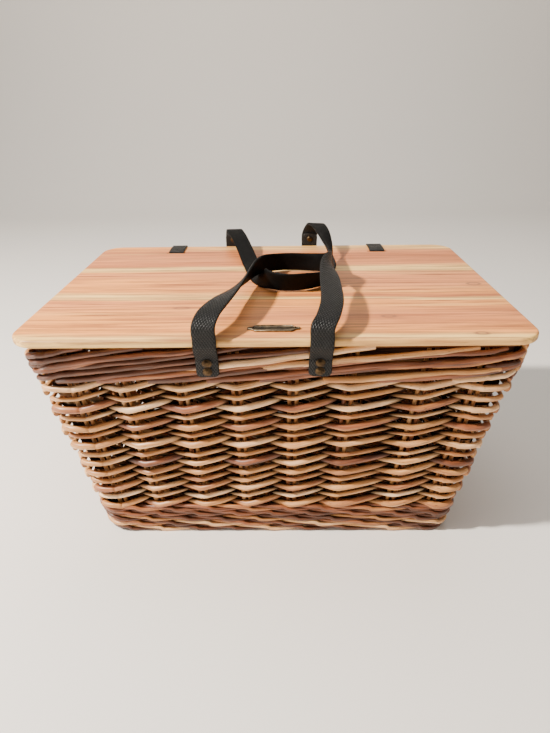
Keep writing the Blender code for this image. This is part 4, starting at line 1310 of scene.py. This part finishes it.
class BASKET_OT_rivets(bpy.types.Operator):
    """Set the domed brass rivets of the strap ends, with their washers inside"""
    bl_idname = "basket.rivets"
    bl_label = "Rivets"

    def execute(self, context):
        for side, word in ((-1, "front"), (1, "back")):
            for (x, _), end in zip(leg_places(side), ("left", "right")):
                for z, level in zip(RIVET_HEIGHTS, ("upper", "lower")):
                    self.rivet(side, x, z, f"{word}_rivet_{end}_{level}")
        for (x, lean), end in zip(leg_places(1), ("left", "right")):
            turn = Matrix.Rotation(math.pi / 2, 3, "X")
            y = HALF_LID + CLEARANCE
            dome = ((0.0036, -0.0004), (0.0036, 0.0004), (0.0030, 0.0010),
                    (0.0020, 0.0014), (0.0008, 0.0016))
            part = turned_part(dome, (x + lean, y, JOINING_Z), turn, 24)
            add_piece(f"back_joining_rivet_{end}", [part], "aged_brass", "back_handle",
                      "aged_brass")
        return {"FINISHED"}

    def rivet(self, side, x, z, node):
        """A domed cap with a rim, its shank and the washer at the inside."""
        cap = WEAVE_FACE + STRAP_THICKNESS + (OVER_LINING if side > 0 else 0) + 0.0002
        profile = ((0.0006, cap + 0.0019), (0.0016, cap + 0.0018), (0.0028, cap + 0.0013),
                   (0.0036, cap + 0.0007), (0.0042, cap + 0.0005), (0.0042, cap + 0.0001),
                   (0.0040, cap), (0.0012, cap), (0.0012, WASHER_IN),
                   (0.0040, WASHER_IN), (0.0040, WASHER_IN - 0.0010),
                   (0.0012, WASHER_IN - 0.0013))
        turn = Matrix.Rotation(-side * (math.pi / 2 + WALL_LEAN), 3, "X")
        place = (x, side * (BASE_HALF_DEPTH + TAPER * z / BASKET_HEIGHT), z)
        part = turned_part(profile[::-1], place, turn, 24)
        add_piece(node, [part], "aged_brass", "basket", "aged_brass", node)


class BASKET_OT_hinges(bpy.types.Operator):
    """Loop the two leather hinges through the lid's slots and round the rim"""
    bl_idname = "basket.hinges"
    bl_label = "Leather hinges"

    def execute(self, context):
        slot_y = HALF_LID - SLOT_INSET
        over = LID_TOP + CLEARANCE + LOOP_HALF_THICKNESS
        behind = HALF_LID + CLEARANCE + LOOP_HALF_THICKNESS
        path = [(slot_y, LID_BOTTOM), (slot_y, over - 0.0015),
                (slot_y + 0.0008, over - 0.0004), (slot_y + 0.0020, over),
                (slot_y + 0.016, over + 0.0005),
                (behind - 0.0020, over), (behind - 0.0006, over - 0.0005),
                (behind, over - 0.0020), (behind, LID_BOTTOM),
                wall_side_point(1, 0.2270, LOOP_OUT),
                wall_side_point(1, LOOP_LOW, LOOP_OUT - 0.0015),
                wall_side_point(1, LOOP_LOW, 0.0015 - LOOP_OUT),
                wall_side_point(1, 0.2270, -LOOP_OUT),
                wall_side_point(1, 0.2325, -LOOP_OUT),
                (slot_y + 0.0015, LID_BOTTOM - 0.0012)]
        for side, word in ((-1, "left"), (1, "right")):
            part = self.band(path, side * SLOT_X, LOOP_WIDTH, 2 * LOOP_HALF_THICKNESS)
            name = f"hinge_loop_{word}"
            add_soft(name, part, "lid", *LOOP_BEND, name)
        return {"FINISHED"}

    def band(self, path, x, width, thickness):
        """A closed band: the strap's section carried round a closed, rounded path."""
        path = np.array(path)
        curve = spline(*(np.roll(path, 1 - i, axis=0)[:, None] for i in range(4)), 4)
        ahead = unit(np.roll(curve, -1, 0) - np.roll(curve, 1, 0))
        normal = np.stack((ahead[:, 1], -ahead[:, 0]), -1)
        w, n, face = strap_profile(width, thickness)
        if ((curve - curve.mean(0)) * normal).sum() < 0:
            normal = -normal
        flat = curve[:, None] + normal[:, None] * n[None, :, None]
        rings = np.concatenate((np.broadcast_to((x + w)[None, :, None],
                                                flat.shape[:2] + (1,)), flat), -1)
        rings, around, face = turned_outwards(rings, w, face)
        along = np.linspace(0, 0.15, len(curve) + 1)[None]
        return swept_part(rings[None], around, along, closed=True, face=face)


class BASKET_OT_stage(bpy.types.Operator):
    """Add the floor, the soft lights and the camera at the photograph's angle"""
    bl_idname = "basket.stage"
    bl_label = "Stage"

    def execute(self, context):
        self.add_floor(context)
        for light in LIGHTS:
            self.add_light(*light)
        world = bpy.data.worlds.new("soft_room")
        world.use_nodes = True
        background = world.node_tree.nodes["Background"]
        background.inputs["Color"].default_value = (0.86, 0.85, 0.84, 1)
        background.inputs["Strength"].default_value = 0.26
        context.scene.world = world
        self.add_camera(context)
        return {"FINISHED"}

    def add_floor(self, context):
        """A floor that curves up into a wall behind, as one smooth sweep."""
        t = np.linspace(0, math.pi / 2, 24)
        y = np.concatenate(([-4.0], 1.6 + 0.8 * np.sin(t), [2.4]))
        z = np.concatenate(([0.0], 0.8 * (1 - np.cos(t)), [4.0]))
        x = np.array((-5.0, 5.0))
        points = [(a, b, c) for b, c in zip(y, z) for a in x]
        faces = [(2 * i, 2 * i + 1, 2 * i + 3, 2 * i + 2) for i in range(len(y) - 1)]
        mesh = bpy.data.meshes.new("floor")
        mesh.from_pydata(points, [], faces)
        mesh.shade_smooth()
        finish = Finish("pale_floor", roughness=0.7)
        mottle = finish.noise(finish.coordinates((1.5, 1.5, 1.5)), detail=3)
        colour = tuple(context.scene.basket_stage.floor)
        finish.surface("Base Color", finish.mix(
            finish.math("MULTIPLY", mottle, 0.12), colour, tuple(c * 0.8 for c in colour)))
        mesh.materials.append(finish.material)
        floor = bpy.data.objects.new("floor", mesh)
        context.scene.collection.objects.link(floor)

    def add_light(self, name, place, height, size, power, colour):
        """A square light that points at a height above the middle of the floor."""
        light = bpy.data.lights.new(name, "AREA")
        light.shape = "SQUARE"
        light.size = size
        light.energy = power
        light.color = colour
        obj = bpy.data.objects.new(name, light)
        way = Vector((0, 0, height)) - Vector(place)
        obj.matrix_world = (Matrix.Translation(place)
                            @ way.to_track_quat("-Z", "Y").to_matrix().to_4x4())
        bpy.context.scene.collection.objects.link(obj)

    def add_camera(self, context):
        """Where the photograph was taken from: above the front wall, looking down."""
        pitch, yaw, roll = (math.radians(a) for a in CAMERA_ANGLES)
        ahead = Vector((math.sin(yaw) * math.cos(pitch), math.cos(yaw) * math.cos(pitch),
                        -math.sin(pitch)))
        right = Vector((math.cos(yaw), -math.sin(yaw), 0))
        down = ahead.cross(right)
        across = right * math.cos(roll) + down * math.sin(roll)
        up = right * math.sin(roll) - down * math.cos(roll)
        camera = bpy.data.cameras.new("camera")
        camera.sensor_fit = "AUTO"
        camera.sensor_width = SENSOR_WIDTH
        camera.lens = FOCAL_PIXELS * SENSOR_WIDTH / PICTURE_PIXELS
        camera.clip_start = 0.02
        obj = bpy.data.objects.new("camera", camera)
        turn = Matrix((across, up, -ahead)).transposed().to_4x4()
        obj.matrix_world = Matrix.Translation(CAMERA_PLACE) @ turn
        context.scene.collection.objects.link(obj)
        context.scene.camera = obj


class BASKET_PT_panel(bpy.types.Panel):
    """Lists the steps that dress the basket and the sizes and colours they use"""
    bl_idname = "BASKET_PT_panel"
    bl_label = "Picnic basket"
    bl_space_type = "VIEW_3D"
    bl_region_type = "UI"
    bl_category = "Basket"

    def draw(self, context):
        for group in GROUPS:
            settings = getattr(context.scene, group)
            for name in settings.bl_rna.properties.keys():
                if name not in ("rna_type", "name"):
                    self.layout.prop(settings, name)
        for step in STEPS:
            self.layout.operator(step.bl_idname)


GROUPS = {"basket_willow": WillowSettings, "basket_lid": LidSettings,
          "basket_leather": LeatherSettings, "basket_stage": StageSettings}
STEPS = (BASKET_OT_stage, BASKET_OT_stakes, BASKET_OT_weave, BASKET_OT_foot, BASKET_OT_rim,
         BASKET_OT_base, BASKET_OT_lid, BASKET_OT_plate, BASKET_OT_handles,
         BASKET_OT_rivets, BASKET_OT_hinges)


def register():
    for group, settings in GROUPS.items():
        bpy.utils.register_class(settings)
        setattr(bpy.types.Scene, group, bpy.props.PointerProperty(type=settings))
    for step in STEPS + (BASKET_PT_panel,):
        bpy.utils.register_class(step)


def unregister():
    for step in (BASKET_PT_panel,) + STEPS[::-1]:
        bpy.utils.unregister_class(step)
    for group, settings in GROUPS.items():
        delattr(bpy.types.Scene, group)
        bpy.utils.unregister_class(settings)


def main():
    register()
    for step in STEPS:
        area, name = step.bl_idname.split(".")
        getattr(getattr(bpy.ops, area), name)()


if __name__ == "__main__":
    main()
